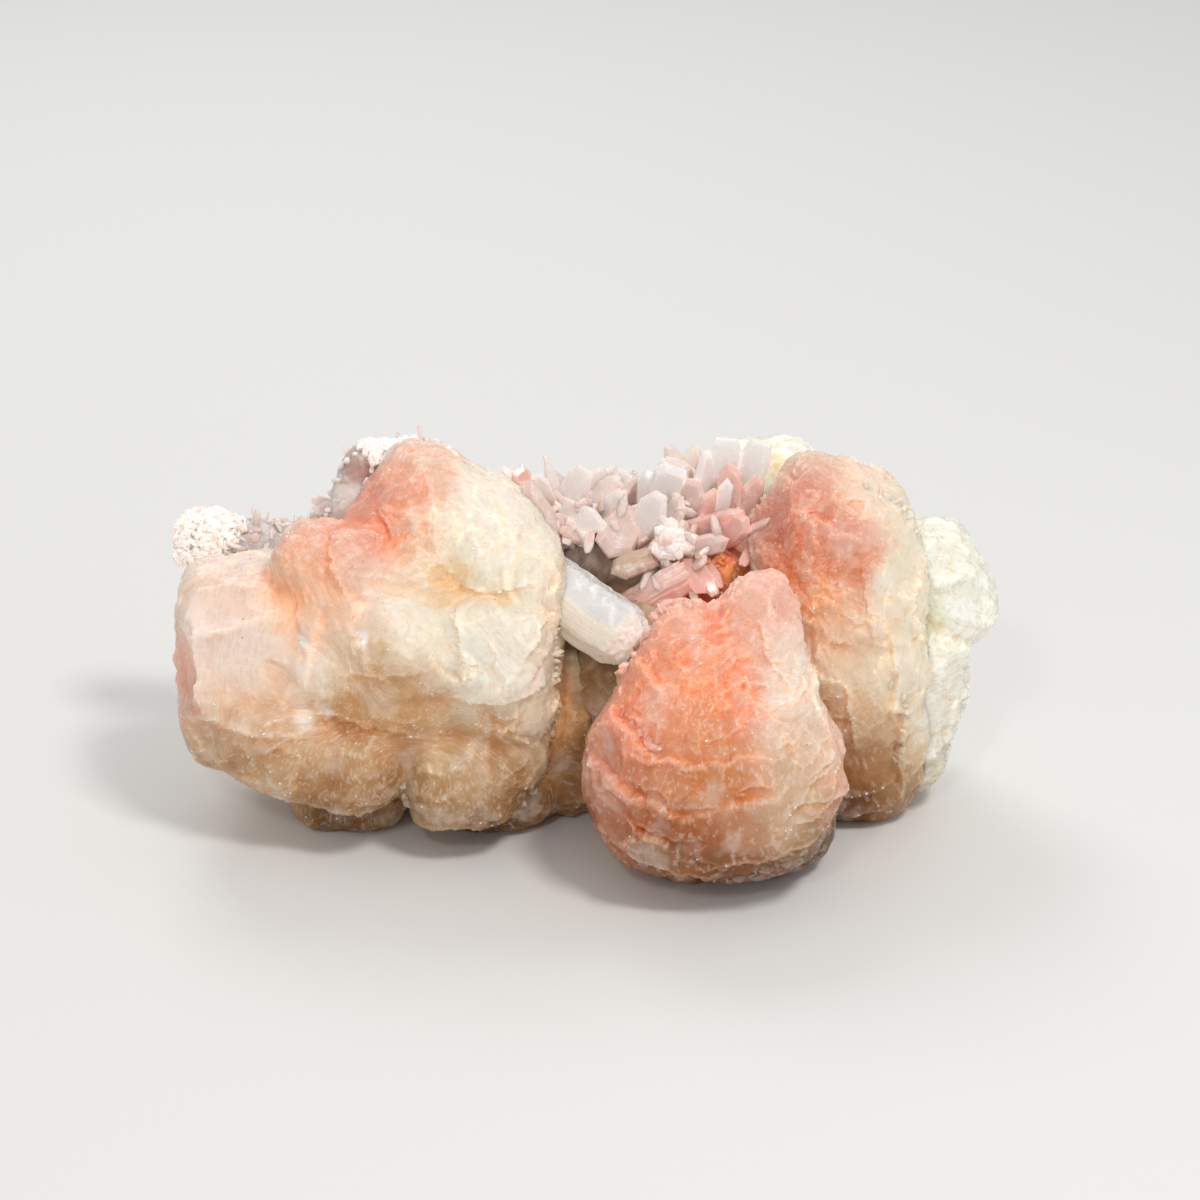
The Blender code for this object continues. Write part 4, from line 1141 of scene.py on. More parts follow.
crust = grow_sheaf("crust_matrix", CRUST_LOBES, root=(10.0, 10.0, 25.0), seed=8, grain=0.50,
                   ground=MAUVE_SKIN, tints=CRUST_TINTS, foot=0.2, lumps=1.4, ledges=0.0,
                   smoothing=8)
dress(crust, pearly("stained matrix", depth=1.4, weight=0.5, gloss=0.42, arcs=0.0, rays=0.0,
                    hairs=0.0), "crust", "blade_crust")

# What a blade looks like, as its place along the hues, from 0 to 1.
MILK, FROST, GLASS, ROSY, MAUVE, SMOKE, AMBER = 0.0, 0.17, 0.34, 0.50, 0.67, 0.84, 1.0
BLADE_HUES = ((0.98, 0.93, 0.90), (0.96, 0.87, 0.83), (0.93, 0.86, 0.81), (0.93, 0.50, 0.42),
              (0.90, 0.66, 0.60), (0.60, 0.46, 0.34), (0.96, 0.32, 0.06))
BLADE_OUTLINES = (
    ((-0.46, -0.30), (-0.50, 0.60), (-0.22, 0.96), (0.20, 1.0), (0.50, 0.64), (0.46, -0.30)),
    ((-0.40, -0.30), (-0.50, 0.70), (-0.08, 1.0), (0.40, 0.80), (0.50, 0.34), (0.38, -0.30)),
    ((-0.38, -0.30), (-0.46, 0.54), (-0.14, 1.0), (0.12, 0.97), (0.46, 0.50), (0.38, -0.30)),
    ((-0.46, -0.30), (-0.50, 0.78), (-0.30, 0.97), (0.34, 0.98), (0.50, 0.72), (0.46, -0.30)),
)
BEVEL = 0.80                        # where a blade's flat face gives way to its bevel
RIM_THICKNESS = 0.22


def blade_shell(outline):
    """A unit blade: its places as across, along, through, and its faces."""
    rim = np.array(outline)
    count = len(rim)
    middle = np.array((0.0, 0.30))
    inner = middle + (rim - middle) * BEVEL
    thin = 1.0 - 0.25 * np.maximum(inner[:, 1], 0)
    rings = [np.column_stack([line, half * thin]) for line, half in
             ((inner, 0.5), (rim, 0.5 * RIM_THICKNESS), (rim, -0.5 * RIM_THICKNESS), (inner, -0.5))]
    places = np.concatenate(rings + [[(*middle, 0.5), (*middle, -0.5)]])
    faces = []
    for step in range(count):
        after = (step + 1) % count
        for ring in range(3):
            start = ring * count
            faces.append((start + step, start + after, start + count + after, start + count + step))
        faces.append((step, 4 * count, after))
        faces.append((3 * count + after, 4 * count + 1, 3 * count + step))
    return places, faces


BLADES = [blade_shell(outline) for outline in BLADE_OUTLINES]


def blade_batch(name, entries):
    """One mesh of many blades, each a foot, tip, width, thickness, tilt in degrees and look."""
    rng = np.random.default_rng(5)
    everything, faces, grains, looks = [], [], [], []
    for foot, tip, width, thickness, tilt, look in entries:
        shell, shell_faces = BLADES[rng.integers(len(BLADES))]
        along = np.array(tip) - np.array(foot)
        length = np.linalg.norm(along)
        along /= length
        out = np.array(TO_VIEWER) - along * (np.array(TO_VIEWER) @ along)
        out /= np.linalg.norm(out)
        across = np.cross(along, out)
        turn = math.radians(tilt)
        face = out * math.cos(turn) + across * math.sin(turn)
        across = np.cross(along, face)
        sized = shell * (width, length, thickness)
        start = sum(len(block) for block in everything)
        everything.append(np.array(foot) + sized[:, :1] * across + sized[:, 1:2] * along
                          + sized[:, 2:] * face)
        faces += [tuple(start + corner for corner in quad) for quad in shell_faces]
        grains.append(sized)
        looks.append(np.full(len(shell), np.clip(look + rng.normal() * 0.03, 0, 1)))
    data = bpy.data.meshes.new(name)
    data.from_pydata((np.concatenate(everything) * MM).tolist(), [], faces)
    data.update()
    obj = bpy.data.objects.new(name, data)
    bpy.context.collection.objects.link(obj)
    mesh = bmesh.new()
    mesh.from_mesh(data)
    bmesh.ops.recalc_face_normals(mesh, faces=mesh.faces)
    mesh.to_mesh(data)
    mesh.free()
    place, _ = places_of(obj)
    put_places(obj, place)
    set_field(obj, "grain", np.concatenate(grains))
    set_field(obj, "look", np.concatenate(looks)[:, None])
    return obj


FOOT_STAIN = (0.80, 0.42, 0.30)
CLOUD_WHITE = (0.99, 0.965, 0.95)
THREAD_WHITE = (0.99, 0.98, 0.97)
DUST = (0.30, 0.16, 0.08)


def blade_glass(name, see_through=0.06, stained=0.30):
    """Milky, frosted blades: cloudy, with threads along them, and stained at the foot."""
    material = bpy.data.materials.new(name)
    material.use_nodes = True
    tree = material.node_tree
    make = node_maker(tree)
    shader = tree.nodes["Principled BSDF"]
    look = make("ShaderNodeAttribute", attribute_name="look").outputs["Fac"]
    grain = make("ShaderNodeAttribute", attribute_name="grain").outputs["Vector"]
    place = stretch(make, make("ShaderNodeTexCoord").outputs["Object"], 1 / MM)
    hues = make("ShaderNodeValToRGB", {0: look})
    ramp = hues.color_ramp
    ramp.elements[0].color = (*BLADE_HUES[0], 1)
    ramp.elements[1].color = (*BLADE_HUES[-1], 1)
    for index, hue in enumerate(BLADE_HUES[1:-1], 1):
        ramp.elements.new(index / (len(BLADE_HUES) - 1)).color = (*hue, 1)
    colour = hues.outputs[0]
    along = make("ShaderNodeSeparateXYZ", {0: grain}).outputs["Y"]
    foot = ramp_between(make, along, 0.2, 3.0, stained, 0.0)
    colour = blend_colours(make, foot, colour, FOOT_STAIN)
    cloud = make("ShaderNodeTexNoise", {"Vector": place, "Scale": 0.55, "Detail": 4.0,
                                        "Roughness": 0.6}).outputs["Fac"]
    milky = ramp_between(make, cloud, 0.44, 0.70, 0.0, 0.38)
    colour = blend_colours(make, milky, colour, CLOUD_WHITE)
    threads = make("ShaderNodeVectorMath", {0: grain, 1: (5.0, 0.35, 2.0)},
                   operation="MULTIPLY").outputs[0]
    streak = make("ShaderNodeTexNoise", {"Vector": threads, "Scale": 1.0, "Detail": 4.0,
                                         "Roughness": 0.6}).outputs["Fac"]
    threaded = ramp_between(make, streak, 0.52, 0.70, 0.0, 0.40)
    colour = blend_colours(make, threaded, colour, THREAD_WHITE)
    speck = make("ShaderNodeTexVoronoi", {"Vector": place, "Scale": 0.75}).outputs["Distance"]
    speck = ramp_between(make, speck, 0.04, 0.06, 0.6 * stained, 0.0)
    colour = blend_colours(make, speck, colour, DUST)
    tree.links.new(colour, shader.inputs["Base Color"])
    tree.links.new(ramp_between(make, cloud, 0.4, 0.7, 0.10, 0.34), shader.inputs["Roughness"])
    height = reckon(make, "MULTIPLY_ADD", cloud, 0.6, streak)
    bump = make("ShaderNodeBump", {"Strength": 0.3, "Distance": 0.2 * MM, "Height": height})
    tree.links.new(bump.outputs[0], shader.inputs["Normal"])
    shader.subsurface_method = "BURLEY"
    shader.inputs["IOR"].default_value = STILBITE_IOR
    shader.inputs["Transmission Weight"].default_value = see_through
    shader.inputs["Subsurface Weight"].default_value = 0.9
    shader.inputs["Subsurface Radius"].default_value = (1.0, 0.92, 0.88)
    shader.inputs["Subsurface Scale"].default_value = 1.5 * MM
    shader.inputs["Coat Weight"].default_value = 0.2
    shader.inputs["Coat Roughness"].default_value = 0.08
    return material


# The blades that the photograph shows one by one: foot, tip, width, thickness, tilt, look.
SINGLE_BLADES = (
    ((-4.7, 16.0, 53.1), (-6.5, 15.5, 61.0), 2.6, 1.2, 35, GLASS),
    ((-4.0, 14.0, 51.0), (0.7, 13.5, 59.5), 5.0, 1.8, -15, FROST),
    ((-2.2, 10.0, 52.8), (3.9, 7.0, 50.8), 5.2, 2.2, 10, FROST),
    ((-2.9, 9.5, 50.0), (1.2, 6.5, 48.2), 3.4, 1.6, 30, GLASS),
    ((2.9, 13.0, 49.0), (6.7, 12.0, 56.0), 5.0, 2.0, 15, GLASS),
    ((7.7, 11.0, 50.8), (3.9, 4.0, 47.3), 7.6, 3.6, 0, MAUVE),
    ((9.8, 9.0, 49.9), (13.5, 8.5, 57.0), 5.6, 2.0, -20, FROST),
    ((13.3, 15.0, 52.8), (15.9, 14.0, 59.6), 6.2, 3.0, 10, MILK),
    ((11.2, 15.5, 52.6), (11.5, 16.0, 58.0), 4.4, 2.4, -30, MILK),
    ((10.6, 3.0, 47.0), (4.6, 1.5, 45.5), 4.6, 2.6, 30, SMOKE),
    ((18.2, 2.0, 46.3), (20.0, -3.0, 43.5), 3.4, 1.1, -35, ROSY),
    ((19.9, 2.0, 46.0), (22.5, -2.0, 42.6), 2.4, 1.0, -15, ROSY),
    ((21.3, 3.0, 45.9), (23.6, -1.0, 43.6), 2.2, 0.9, 10, ROSY),
    ((18.5, -1.0, 43.3), (19.1, -3.5, 41.9), 1.6, 0.8, 0, MILK),
    ((18.6, 8.0, 50.3), (28.0, 6.0, 53.9), 4.0, 2.0, 20, ROSY),
    ((18.2, 5.0, 48.3), (24.9, 2.5, 50.8), 4.0, 2.2, 15, MAUVE),
    ((24.7, 6.0, 50.1), (28.2, 3.0, 54.5), 4.6, 2.2, -20, ROSY),
    ((28.1, 5.0, 48.9), (31.9, 1.5, 55.2), 4.4, 2.0, 10, ROSY),
    ((30.8, 3.0, 47.0), (33.5, -0.5, 52.4), 3.0, 1.4, 30, MAUVE),
    ((23.0, 16.0, 50.8), (24.7, 17.0, 63.9), 6.2, 2.8, 5, MILK),
    ((27.4, 15.0, 52.8), (30.7, 16.5, 63.4), 5.4, 2.4, -25, MILK),
    ((20.8, 14.0, 52.3), (21.1, 16.0, 61.7), 5.0, 2.2, 40, FROST),
    ((24.9, 12.0, 51.9), (25.3, 12.5, 61.0), 5.0, 2.0, -10, ROSY),
    ((23.4, 10.0, 52.2), (24.8, 9.5, 59.4), 2.8, 1.2, 10, MILK),
    ((28.3, 12.0, 51.3), (29.7, 11.5, 59.2), 4.4, 1.6, 30, ROSY),
    ((18.4, 12.0, 50.4), (19.0, 13.0, 57.8), 5.0, 2.0, -35, MAUVE),
    ((21.1, 10.0, 51.3), (22.7, 10.0, 57.3), 4.2, 1.8, 25, ROSY),
    ((-6.3, 5.0, 48.9), (-9.3, 8.0, 59.7), 6.6, 3.4, -30, MAUVE),
    ((-8.4, 12.0, 54.1), (-11.4, 12.0, 60.1), 3.6, 1.6, 20, ROSY),
    ((-6.0, 13.0, 53.7), (-8.2, 12.0, 59.0), 3.4, 1.5, -20, FROST),
    ((-10.8, 11.0, 56.5), (-13.7, 13.0, 60.1), 3.0, 1.4, 0, FROST),
    ((-4.6, 8.5, 52.0), (-5.3, 5.0, 49.8), 2.2, 1.0, 20, FROST),
    ((-2.2, 8.0, 51.3), (-2.9, 5.0, 48.9), 2.0, 1.0, -20, FROST),
    ((1.2, 7.0, 49.8), (0.7, 4.0, 47.8), 1.8, 1.0, 10, GLASS),
    ((2.9, 20.0, 50.5), (2.2, 21.0, 56.4), 4.2, 1.8, 30, GLASS),
    ((6.0, 20.0, 50.9), (7.8, 21.0, 55.8), 4.6, 2.0, -15, GLASS),
    ((8.8, 19.0, 51.0), (9.8, 19.5, 56.1), 4.0, 1.8, 20, FROST),
    ((-0.9, 20.0, 50.9), (-2.0, 21.0, 55.4), 3.6, 1.6, -30, GLASS),
    ((29.4, 2.0, 48.2), (31.2, -2.0, 46.8), 2.0, 1.0, 20, FROST),
    ((30.9, 2.0, 47.5), (32.6, -2.0, 47.1), 1.8, 0.9, -20, ROSY),
    ((28.0, 3.0, 48.5), (26.9, 0.0, 47.3), 1.8, 0.9, 0, ROSY),
)
BUNDLE_FOOT = (9.7, 1.5, 40.0)      # a bunch of parallel striated blades
BUNDLE_TIP = (17.8, -1.0, 47.0)
BUNDLE_COUNT = 7
BUNDLE_SPREAD = (0.3675, -0.21, -0.4725)    # from one blade of the bunch to the next
FLOWER = (14.6, 4.0, 50.4)          # a bright bunch that radiates to the show side
FLOWER_COUNT = 46


def bundle():
    rng = np.random.default_rng(21)
    entries = []
    for index in range(BUNDLE_COUNT):
        shift = np.array(BUNDLE_SPREAD) * (index - BUNDLE_COUNT // 2) + rng.normal(size=3) * 0.2
        tip = np.array(BUNDLE_TIP) + shift * 1.15 + rng.normal(size=3) * 0.4
        entries.append((tuple(np.array(BUNDLE_FOOT) + shift), tuple(tip), rng.uniform(2.2, 3.2),
                        rng.uniform(1.3, 1.9), rng.uniform(10, 60), rng.choice((ROSY, 0.42, 0.60))))
    return entries


def flower():
    rng = np.random.default_rng(8)
    entries = []
    while len(entries) < FLOWER_COUNT:
        way = rng.normal(size=3) + (0.25, -0.8, 0.0)
        way /= np.linalg.norm(way)
        if way[1] > 0.25:
            continue
        length = rng.uniform(2.2, 3.9) * (1.3 if way[0] > 0.3 and way[2] < 0 else 1.0)
        foot = np.array(FLOWER) + way * 0.6
        entries.append((tuple(foot), tuple(foot + way * length), rng.uniform(2.4, 3.8),
                        rng.uniform(1.4, 2.3), rng.uniform(-90, 90),
                        rng.choice((MILK, 0.10, 0.38, 0.40))))
    return entries


singles = blade_batch("crust_blades", list(SINGLE_BLADES) + bundle() + flower())
dress(singles, blade_glass("frosted stilbite blades"), "crust", flat_above=25)


def read_field(obj, name):
    layer = obj.data.attributes[name]
    values = np.empty(len(layer.data))
    layer.data.foreach_get("value", values)
    return values


def shape_object(name, places, faces, grain_scale):
    """A small shape to sow, kept out of the picture."""
    data = bpy.data.meshes.new(name)
    data.from_pydata((np.array(places) * MM).tolist(), [], faces)
    data.update()
    obj = bpy.data.objects.new(name, data)
    mesh = bmesh.new()
    mesh.from_mesh(data)
    bmesh.ops.recalc_face_normals(mesh, faces=mesh.faces)
    mesh.to_mesh(data)
    mesh.free()
    set_field(obj, "grain", np.array([vert.co for vert in data.vertices]) / MM * grain_scale)
    return obj


def hull_shape(name, points):
    mesh = bmesh.new()
    add_hull(mesh, [Vector(point) for point in points])
    mesh.verts.index_update()
    places = [tuple(vert.co) for vert in mesh.verts]
    faces = [[vert.index for vert in face.verts] for face in mesh.faces]
    mesh.free()
    return shape_object(name, places, faces, 3.0)


def shape_box(name, shapes):
    box = bpy.data.collections.new(name)
    for shape in shapes:
        box.objects.link(shape)
    return box


def sowing_tree():
    """Scatter shapes over a surface where its 'sow' field is high, and realize them."""
    tree = bpy.data.node_groups.new("sow crystals", "GeometryNodeTree")
    face = tree.interface
    face.new_socket("Geometry", in_out="INPUT", socket_type="NodeSocketGeometry")
    for name, kind in (("Shapes", "Collection"), ("Material", "Material"), ("Seed", "Int"),
                       ("Spacing", "Float"), ("Density", "Float"), ("Small", "Float"),
                       ("Large", "Float"), ("Lean", "Float"), ("Look from", "Float"),
                       ("Look to", "Float")):
        face.new_socket(name, in_out="INPUT", socket_type="NodeSocket" + kind)
    face.new_socket("Geometry", in_out="OUTPUT", socket_type="NodeSocketGeometry")
    make = node_maker(tree)
    given = make("NodeGroupInput").outputs
    field = make("GeometryNodeInputNamedAttribute", {"Name": "sow"}, data_type="FLOAT")
    points = make("GeometryNodeDistributePointsOnFaces",
                  {"Mesh": given["Geometry"], "Distance Min": given["Spacing"],
                   "Density Max": given["Density"], "Density Factor": field.outputs[0],
                   "Seed": given["Seed"]}, distribute_method="POISSON")
    lean = given["Lean"]
    minus = make("ShaderNodeMath", {0: lean, 1: -1.0}, operation="MULTIPLY").outputs[0]
    low = make("ShaderNodeCombineXYZ", {"X": minus, "Y": minus, "Z": 0.0}).outputs[0]
    high = make("ShaderNodeCombineXYZ", {"X": lean, "Y": lean, "Z": 2 * math.pi}).outputs[0]
    turn = make("FunctionNodeRandomValue", {0: low, 1: high, "Seed": 1}, data_type="FLOAT_VECTOR")
    turn = make("FunctionNodeEulerToRotation", {0: turn.outputs[0]})
    pose = make("FunctionNodeRotateRotation", {0: points.outputs["Rotation"], 1: turn.outputs[0]},
                rotation_space="LOCAL")
    size = make("FunctionNodeRandomValue", {2: given["Small"], 3: given["Large"], "Seed": 2},
                data_type="FLOAT")
    shapes = make("GeometryNodeCollectionInfo", {0: given["Shapes"], 1: True, 2: True})
    placed = make("GeometryNodeInstanceOnPoints",
                  {"Points": points.outputs["Points"], "Instance": shapes.outputs[0],
                   "Pick Instance": True, "Rotation": pose.outputs[0], "Scale": size.outputs[1]})
    look = make("FunctionNodeRandomValue", {2: given["Look from"], 3: given["Look to"], "Seed": 3},
                data_type="FLOAT")
    kept = make("GeometryNodeStoreNamedAttribute",
                {"Geometry": placed.outputs[0], "Name": "look", "Value": look.outputs[1]},
                data_type="FLOAT", domain="INSTANCE")
    real = make("GeometryNodeRealizeInstances", {0: kept.outputs[0]})
    done = make("GeometryNodeSetMaterial", {0: real.outputs[0], "Material": given["Material"]})
    make("NodeGroupOutput", {0: done.outputs[0]})
    return tree


SOWING = sowing_tree()


def sow(name, ground, field, shapes, material, seed, spacing, density, sizes, lean, looks):
    """Crystals as a mesh of their own on the ground piece, where the field is high.

    Spacing and sizes are in millimetres, density is per square millimetre, lean in degrees.
    """
    soil = bpy.data.objects.new(name, ground.data.copy())
    bpy.context.collection.objects.link(soil)
    set_field(soil, "sow", np.clip(field, 0, 1)[:, None])
    nodes = soil.modifiers.new("sow", "NODES")
    nodes.node_group = SOWING
    wanted = {"Shapes": shapes, "Material": material, "Seed": seed, "Spacing": spacing * MM,
              "Density": density / MM ** 2, "Small": sizes[0], "Large": sizes[1],
              "Lean": math.radians(lean), "Look from": looks[0], "Look to": looks[1]}
    for item in SOWING.interface.items_tree:
        if item.in_out == "INPUT" and item.name in wanted:
            nodes[item.identifier] = wanted[item.name]
    settle(soil)
    keep_above_floor(soil, 0.05)
    soil.data.materials.clear()
    soil.data.materials.append(material)
    return soil


def unit_blades():
    """The blade outlines as small upright blades."""
    upright = np.array(((1, 0, 0), (0, 0, 1), (0, -1, 0)))
    return [shape_object(f"blade {index}", shell * (0.72, 1.0, 0.28) @ upright, faces, 5.0)
            for index, (shell, faces) in enumerate(BLADES)]


SHAPES_OF_A_KIND = 4


def point_crystals():
    """Stubby six-sided crystals that end in a point."""
    rng = np.random.default_rng(3)
    shapes = []
    for index in range(SHAPES_OF_A_KIND):
        turns = np.arange(6) * math.pi / 3 + rng.uniform(-0.15, 0.15, 6)
        ring = np.column_stack([np.cos(turns), np.sin(turns) * rng.uniform(0.6, 1.0)]) * 0.58
        shoulder = rng.uniform(0.45, 0.75)
        points = [(x, y, -0.4) for x, y in ring] + [(x * 0.9, y * 0.9, shoulder) for x, y in ring]
        points.append((rng.uniform(-0.1, 0.1), rng.uniform(-0.1, 0.1), 1.0))
        shapes.append(hull_shape(f"point {index}", points))
    return shapes


def flakes():
    """Flat chips with six ragged sides."""
    rng = np.random.default_rng(4)
    shapes = []
    for index in range(SHAPES_OF_A_KIND):
        turns = np.sort(rng.uniform(0, 2 * math.pi, 6))
        ring = np.column_stack([np.cos(turns), np.sin(turns)]) * rng.uniform(0.35, 0.6, (6, 1))
        points = [(x, y, 0.16) for x, y in ring * 0.8] + [(x, y, -0.25) for x, y in ring]
        shapes.append(hull_shape(f"flake {index}", points))
    return shapes


BLADE_SHAPES = shape_box("small blades", unit_blades())
POINT_SHAPES = shape_box("crystal points", point_crystals())
FLAKE_SHAPES = shape_box("flakes", flakes())


def round_patch(place, centre, radii, full, none):
    """1 within a round patch, falling to 0 outside it."""
    return 1 - smooth_step(np.linalg.norm((place - centre) / radii, axis=1), full, none)


# Small blades all over the rest of the matrix, at the back too, and orange grains in the
# hollow by the front sheaf.
place, normal = places_of(crust)
high = smooth_step(place[:, 2], 40.0, 46.0) * (0.4 + 0.6 * smooth_step(normal[:, 2], -0.2, 0.4))
behind = smooth_step(place[:, 1], 22.0, 27.0) * smooth_step(place[:, 2], 4.0, 12.0)
hollow = round_patch(place, (24.5, 4.0, 44.0), (6.0, 9.0, 5.0), 0.7, 1.1)
dark = round_patch(place, (1.0, 5.0, 44.0), (8.0, 7.0, 5.0), 0.8, 1.1)
glass = blade_glass("frosted small blades")
small = sow("crust_small_blades", crust, np.maximum(high, behind) * (1 - hollow) * (1 - dark),
            BLADE_SHAPES, glass, seed=7, spacing=2.1, density=0.36, sizes=(3.2, 6.6), lean=40,
            looks=(MILK, 0.44))
dress(small, glass, "crust", flat_above=25)
amber = blade_glass("amber grains", see_through=0.05, stained=0.0)
grains = sow("crust_amber_grains", crust, 0.8 * hollow, POINT_SHAPES, amber, seed=9, spacing=0.6,
             density=0.9, sizes=(0.4, 1.0), lean=60, looks=(0.90, AMBER))
dress(grains, amber, "crust", flat_above=20)


# Left druse knob. A grey, half see-through stub of crystal that sticks out at the far left. Its
# outer end grew a round white crust of tiny points.
KNOB_LOBES = (
    ((-60.0, 22.0, 41.0), 0.4, (((-66.5, 22.0, 41.5), (5.4, 5.4, 5.6), FLAT, 2.3),)),
    ((-56.0, 20.0, 40.0), 0.4, (
        ((-64.0, 22.0, 41.0), (5.0, 4.6, 4.4), FLAT, 2.6),
        ((-50.5, 19.5, 40.0), (5.4, 5.0, 5.2), FLAT, 3.0))),
)
KNOB_GREY = (0.58, 0.52, 0.50)
KNOB_TINTS = (
    ((-67.0, 20.0, 43.0), 8.0, (0.80, 0.77, 0.73), 0.95),
    ((-63.0, 18.0, 42.5), 4.0, (0.86, 0.62, 0.56), 0.45),
    # Darker brown low on the knob: painted shade under it.
    ((-66.0, 18.0, 38.0), 3.5, (0.62, 0.52, 0.44), 0.6),
)
knob = grow_sheaf("knob_stub", KNOB_LOBES, root=(-56.0, 20.0, 40.0), seed=6, grain=0.34,
                  ground=KNOB_GREY, tints=KNOB_TINTS, foot=0.0, ledges=0.2, smoothing=10)
dress(knob, pearly("grey half-clear stub", depth=2.0, gloss=0.26, arcs=0.3, rays=0.3, hairs=0.0),
      "druse_knob", "left_druse_knob")
place, _ = places_of(knob)
white_end = 1 - smooth_step(place[:, 0], -63.0, -58.0)
sugar = blade_glass("sugary crystals", see_through=0.0, stained=0.0)
knob_points = sow("knob_crystals", knob, white_end * 0.9 + 0.05, POINT_SHAPES, sugar, seed=3,
                  spacing=0.30, density=8.0, sizes=(0.42, 0.90), lean=55, looks=(0.08, 0.47))
dress(knob_points, sugar, "druse_knob", flat_above=20)
knob_plates = sow("knob_plates", knob, 1 - white_end, BLADE_SHAPES, glass, seed=5, spacing=1.4,
                  density=0.42, sizes=(1.5, 2.9), lean=80, looks=(MILK, 0.32))
dress(knob_plates, glass, "druse_knob", flat_above=25)


# Top druse. A clump of grey and rose crystals that grew behind the left sheaf's dome, with a
# sugary white crust of tiny points on top and one dark green speck.
DRUSE_LOBES = (
    ((-36.0, 18.0, 50.0), 0.5, (
        ((-34.5, 17.5, 57.0), (6.0, 5.2, 5.4), FLAT, 2.5),
        ((-39.5, 16.5, 50.5), (4.8, 5.0, 5.5), FLAT, 2.5))),
    ((-31.0, 19.0, 48.0), 0.5, (((-31.0, 19.5, 53.0), (6.0, 6.0, 8.5), FLAT, 2.4),)),
    ((-38.0, 21.0, 42.0), 0.5, (((-38.0, 21.5, 45.0), (8.0, 6.5, 7.0), FLAT, 2.4),)),
)
DRUSE_ROSE = (0.58, 0.42, 0.38)
DRUSE_TINTS = (
    ((-33.0, 17.0, 62.0), 5.0, WHITE, 0.9),
    ((-41.5, 13.5, 54.0), 4.0, WHITE, 0.7),
    ((-38.0, 13.5, 58.0), 4.5, (0.55, 0.30, 0.26), 0.6),
    ((-32.4, 15.5, 61.9), 0.9, (0.02, 0.06, 0.03), 1.0),
)
druse = grow_sheaf("druse_body", DRUSE_LOBES, root=(-34.0, 16.0, 46.0), seed=7, grain=0.34,
                   ground=DRUSE_ROSE, tints=DRUSE_TINTS, foot=0.0, lumps=2.0, ledges=0.5,
                   smoothing=8)
dress(druse, pearly("grey rose druse", depth=1.8, gloss=0.28, arcs=0.3, rays=0.3, hairs=0.0),
      "druse", "top_druse")
place, _ = places_of(druse)
white_top = round_patch(place, (-33.0, 17.0, 62.0), (6.0, 5.0, 4.0), 0.7, 1.2)
back_side = (1 - white_top) * smooth_step(place[:, 1], 19.5, 22.0)
druse_points = sow("druse_crystals", druse, 0.04 + 0.96 * white_top, POINT_SHAPES, sugar, seed=4,
                   spacing=0.42, density=5.0, sizes=(0.5, 1.2), lean=50, looks=(0.10, 0.40))
dress(druse_points, sugar, "druse", flat_above=20)
druse_plates = sow("druse_plates", druse, back_side, BLADE_SHAPES, glass, seed=6, spacing=1.5,
                   density=0.42, sizes=(1.6, 3.0), lean=55, looks=(MILK, GLASS))
dress(druse_plates, glass, "druse", flat_above=25)


# Free plate ends. Along its crests, ledges and undercut rims a sheaf frays into single plates,
# which show edge on as a serrated line.
FREE_PLATE_TONE = 0.15              # how much paler a free end is than the sheaf by it
FREE_PLATE_WHITE = (0.97, 0.94, 0.90, 1.0)
PLATE_ROOT = 4.0                    # how deep a plate is set into its sheaf

# A rim is the line it runs along, a point its plates turn away from, their pitch, how far they
# stand out and how deep they are.
LEFT_RIMS = (
    (((-7.0, -8.0, 40.7), (-4.6, -8.0, 37.3), (-3.6, -8.0, 34.5), (-4.6, -8.0, 27.8),
      (-7.0, -8.0, 21.7), (-9.8, -8.0, 17.8)), (-18.0, -6.0, 31.0), 0.9, 0.9, 4.5),
    (((-31.0, -14.0, 15.0), (-26.1, -14.5, 9.6), (-19.3, -14.5, 6.2), (-12.5, -14.0, 5.2),
      (-7.0, -13.5, 8.0)), (-19.5, -8.0, 16.0), 1.5, 0.9, 3.5),
    (((-50.3, -13.0, 10.4), (-45.8, -13.5, 8.5), (-40.7, -14.0, 8.2), (-34.0, -13.5, 11.2)),
     (-43.0, -5.0, 20.0), 1.5, 0.9, 3.5),
)
FRONT_RIMS = (
    (((1.9, -16.0, 36.1), (3.6, -16.0, 40.2), (6.3, -16.0, 44.2), (9.7, -16.0, 48.0),
      (13.6, -16.0, 48.6), (17.7, -16.0, 47.8)), (15.0, -17.0, 38.0), 1.1, 0.9, 4.0),
    (((4.9, -26.5, 33.0), (8.0, -31.0, 31.5), (12.0, -34.4, 30.0)),
     (17.0, -25.0, 40.0), 2.0, 0.7, 2.4),
    (((11.2, -33.0, 9.6), (17.8, -34.0, 7.6), (24.5, -34.0, 7.6), (32.7, -33.0, 10.0),
      (39.0, -30.0, 15.0)), (23.0, -22.0, 18.0), 1.6, 0.8, 3.5),
)
RIGHT_RIMS = (
    (((47.4, 3.0, 61.4), (51.0, 3.0, 57.6), (54.2, 3.0, 53.0), (57.0, 3.0, 47.0), (57.2, 3.0, 39.8),
      (54.8, 3.0, 34.1)), (44.0, 4.0, 46.0), 1.2, 1.0, 4.0),
    (((52.0, -9.0, 31.0), (54.5, -9.0, 24.0), (54.5, -9.0, 15.0)),
     (46.0, 0.0, 24.0), 1.5, 0.7, 2.6),
)
FAN_RIMS = (
    (((66.5, 4.0, 27.0), (66.0, 4.0, 20.0), (63.0, 2.0, 9.0)), (57.0, 8.0, 20.0), 1.8, 0.8, 3.5),
)


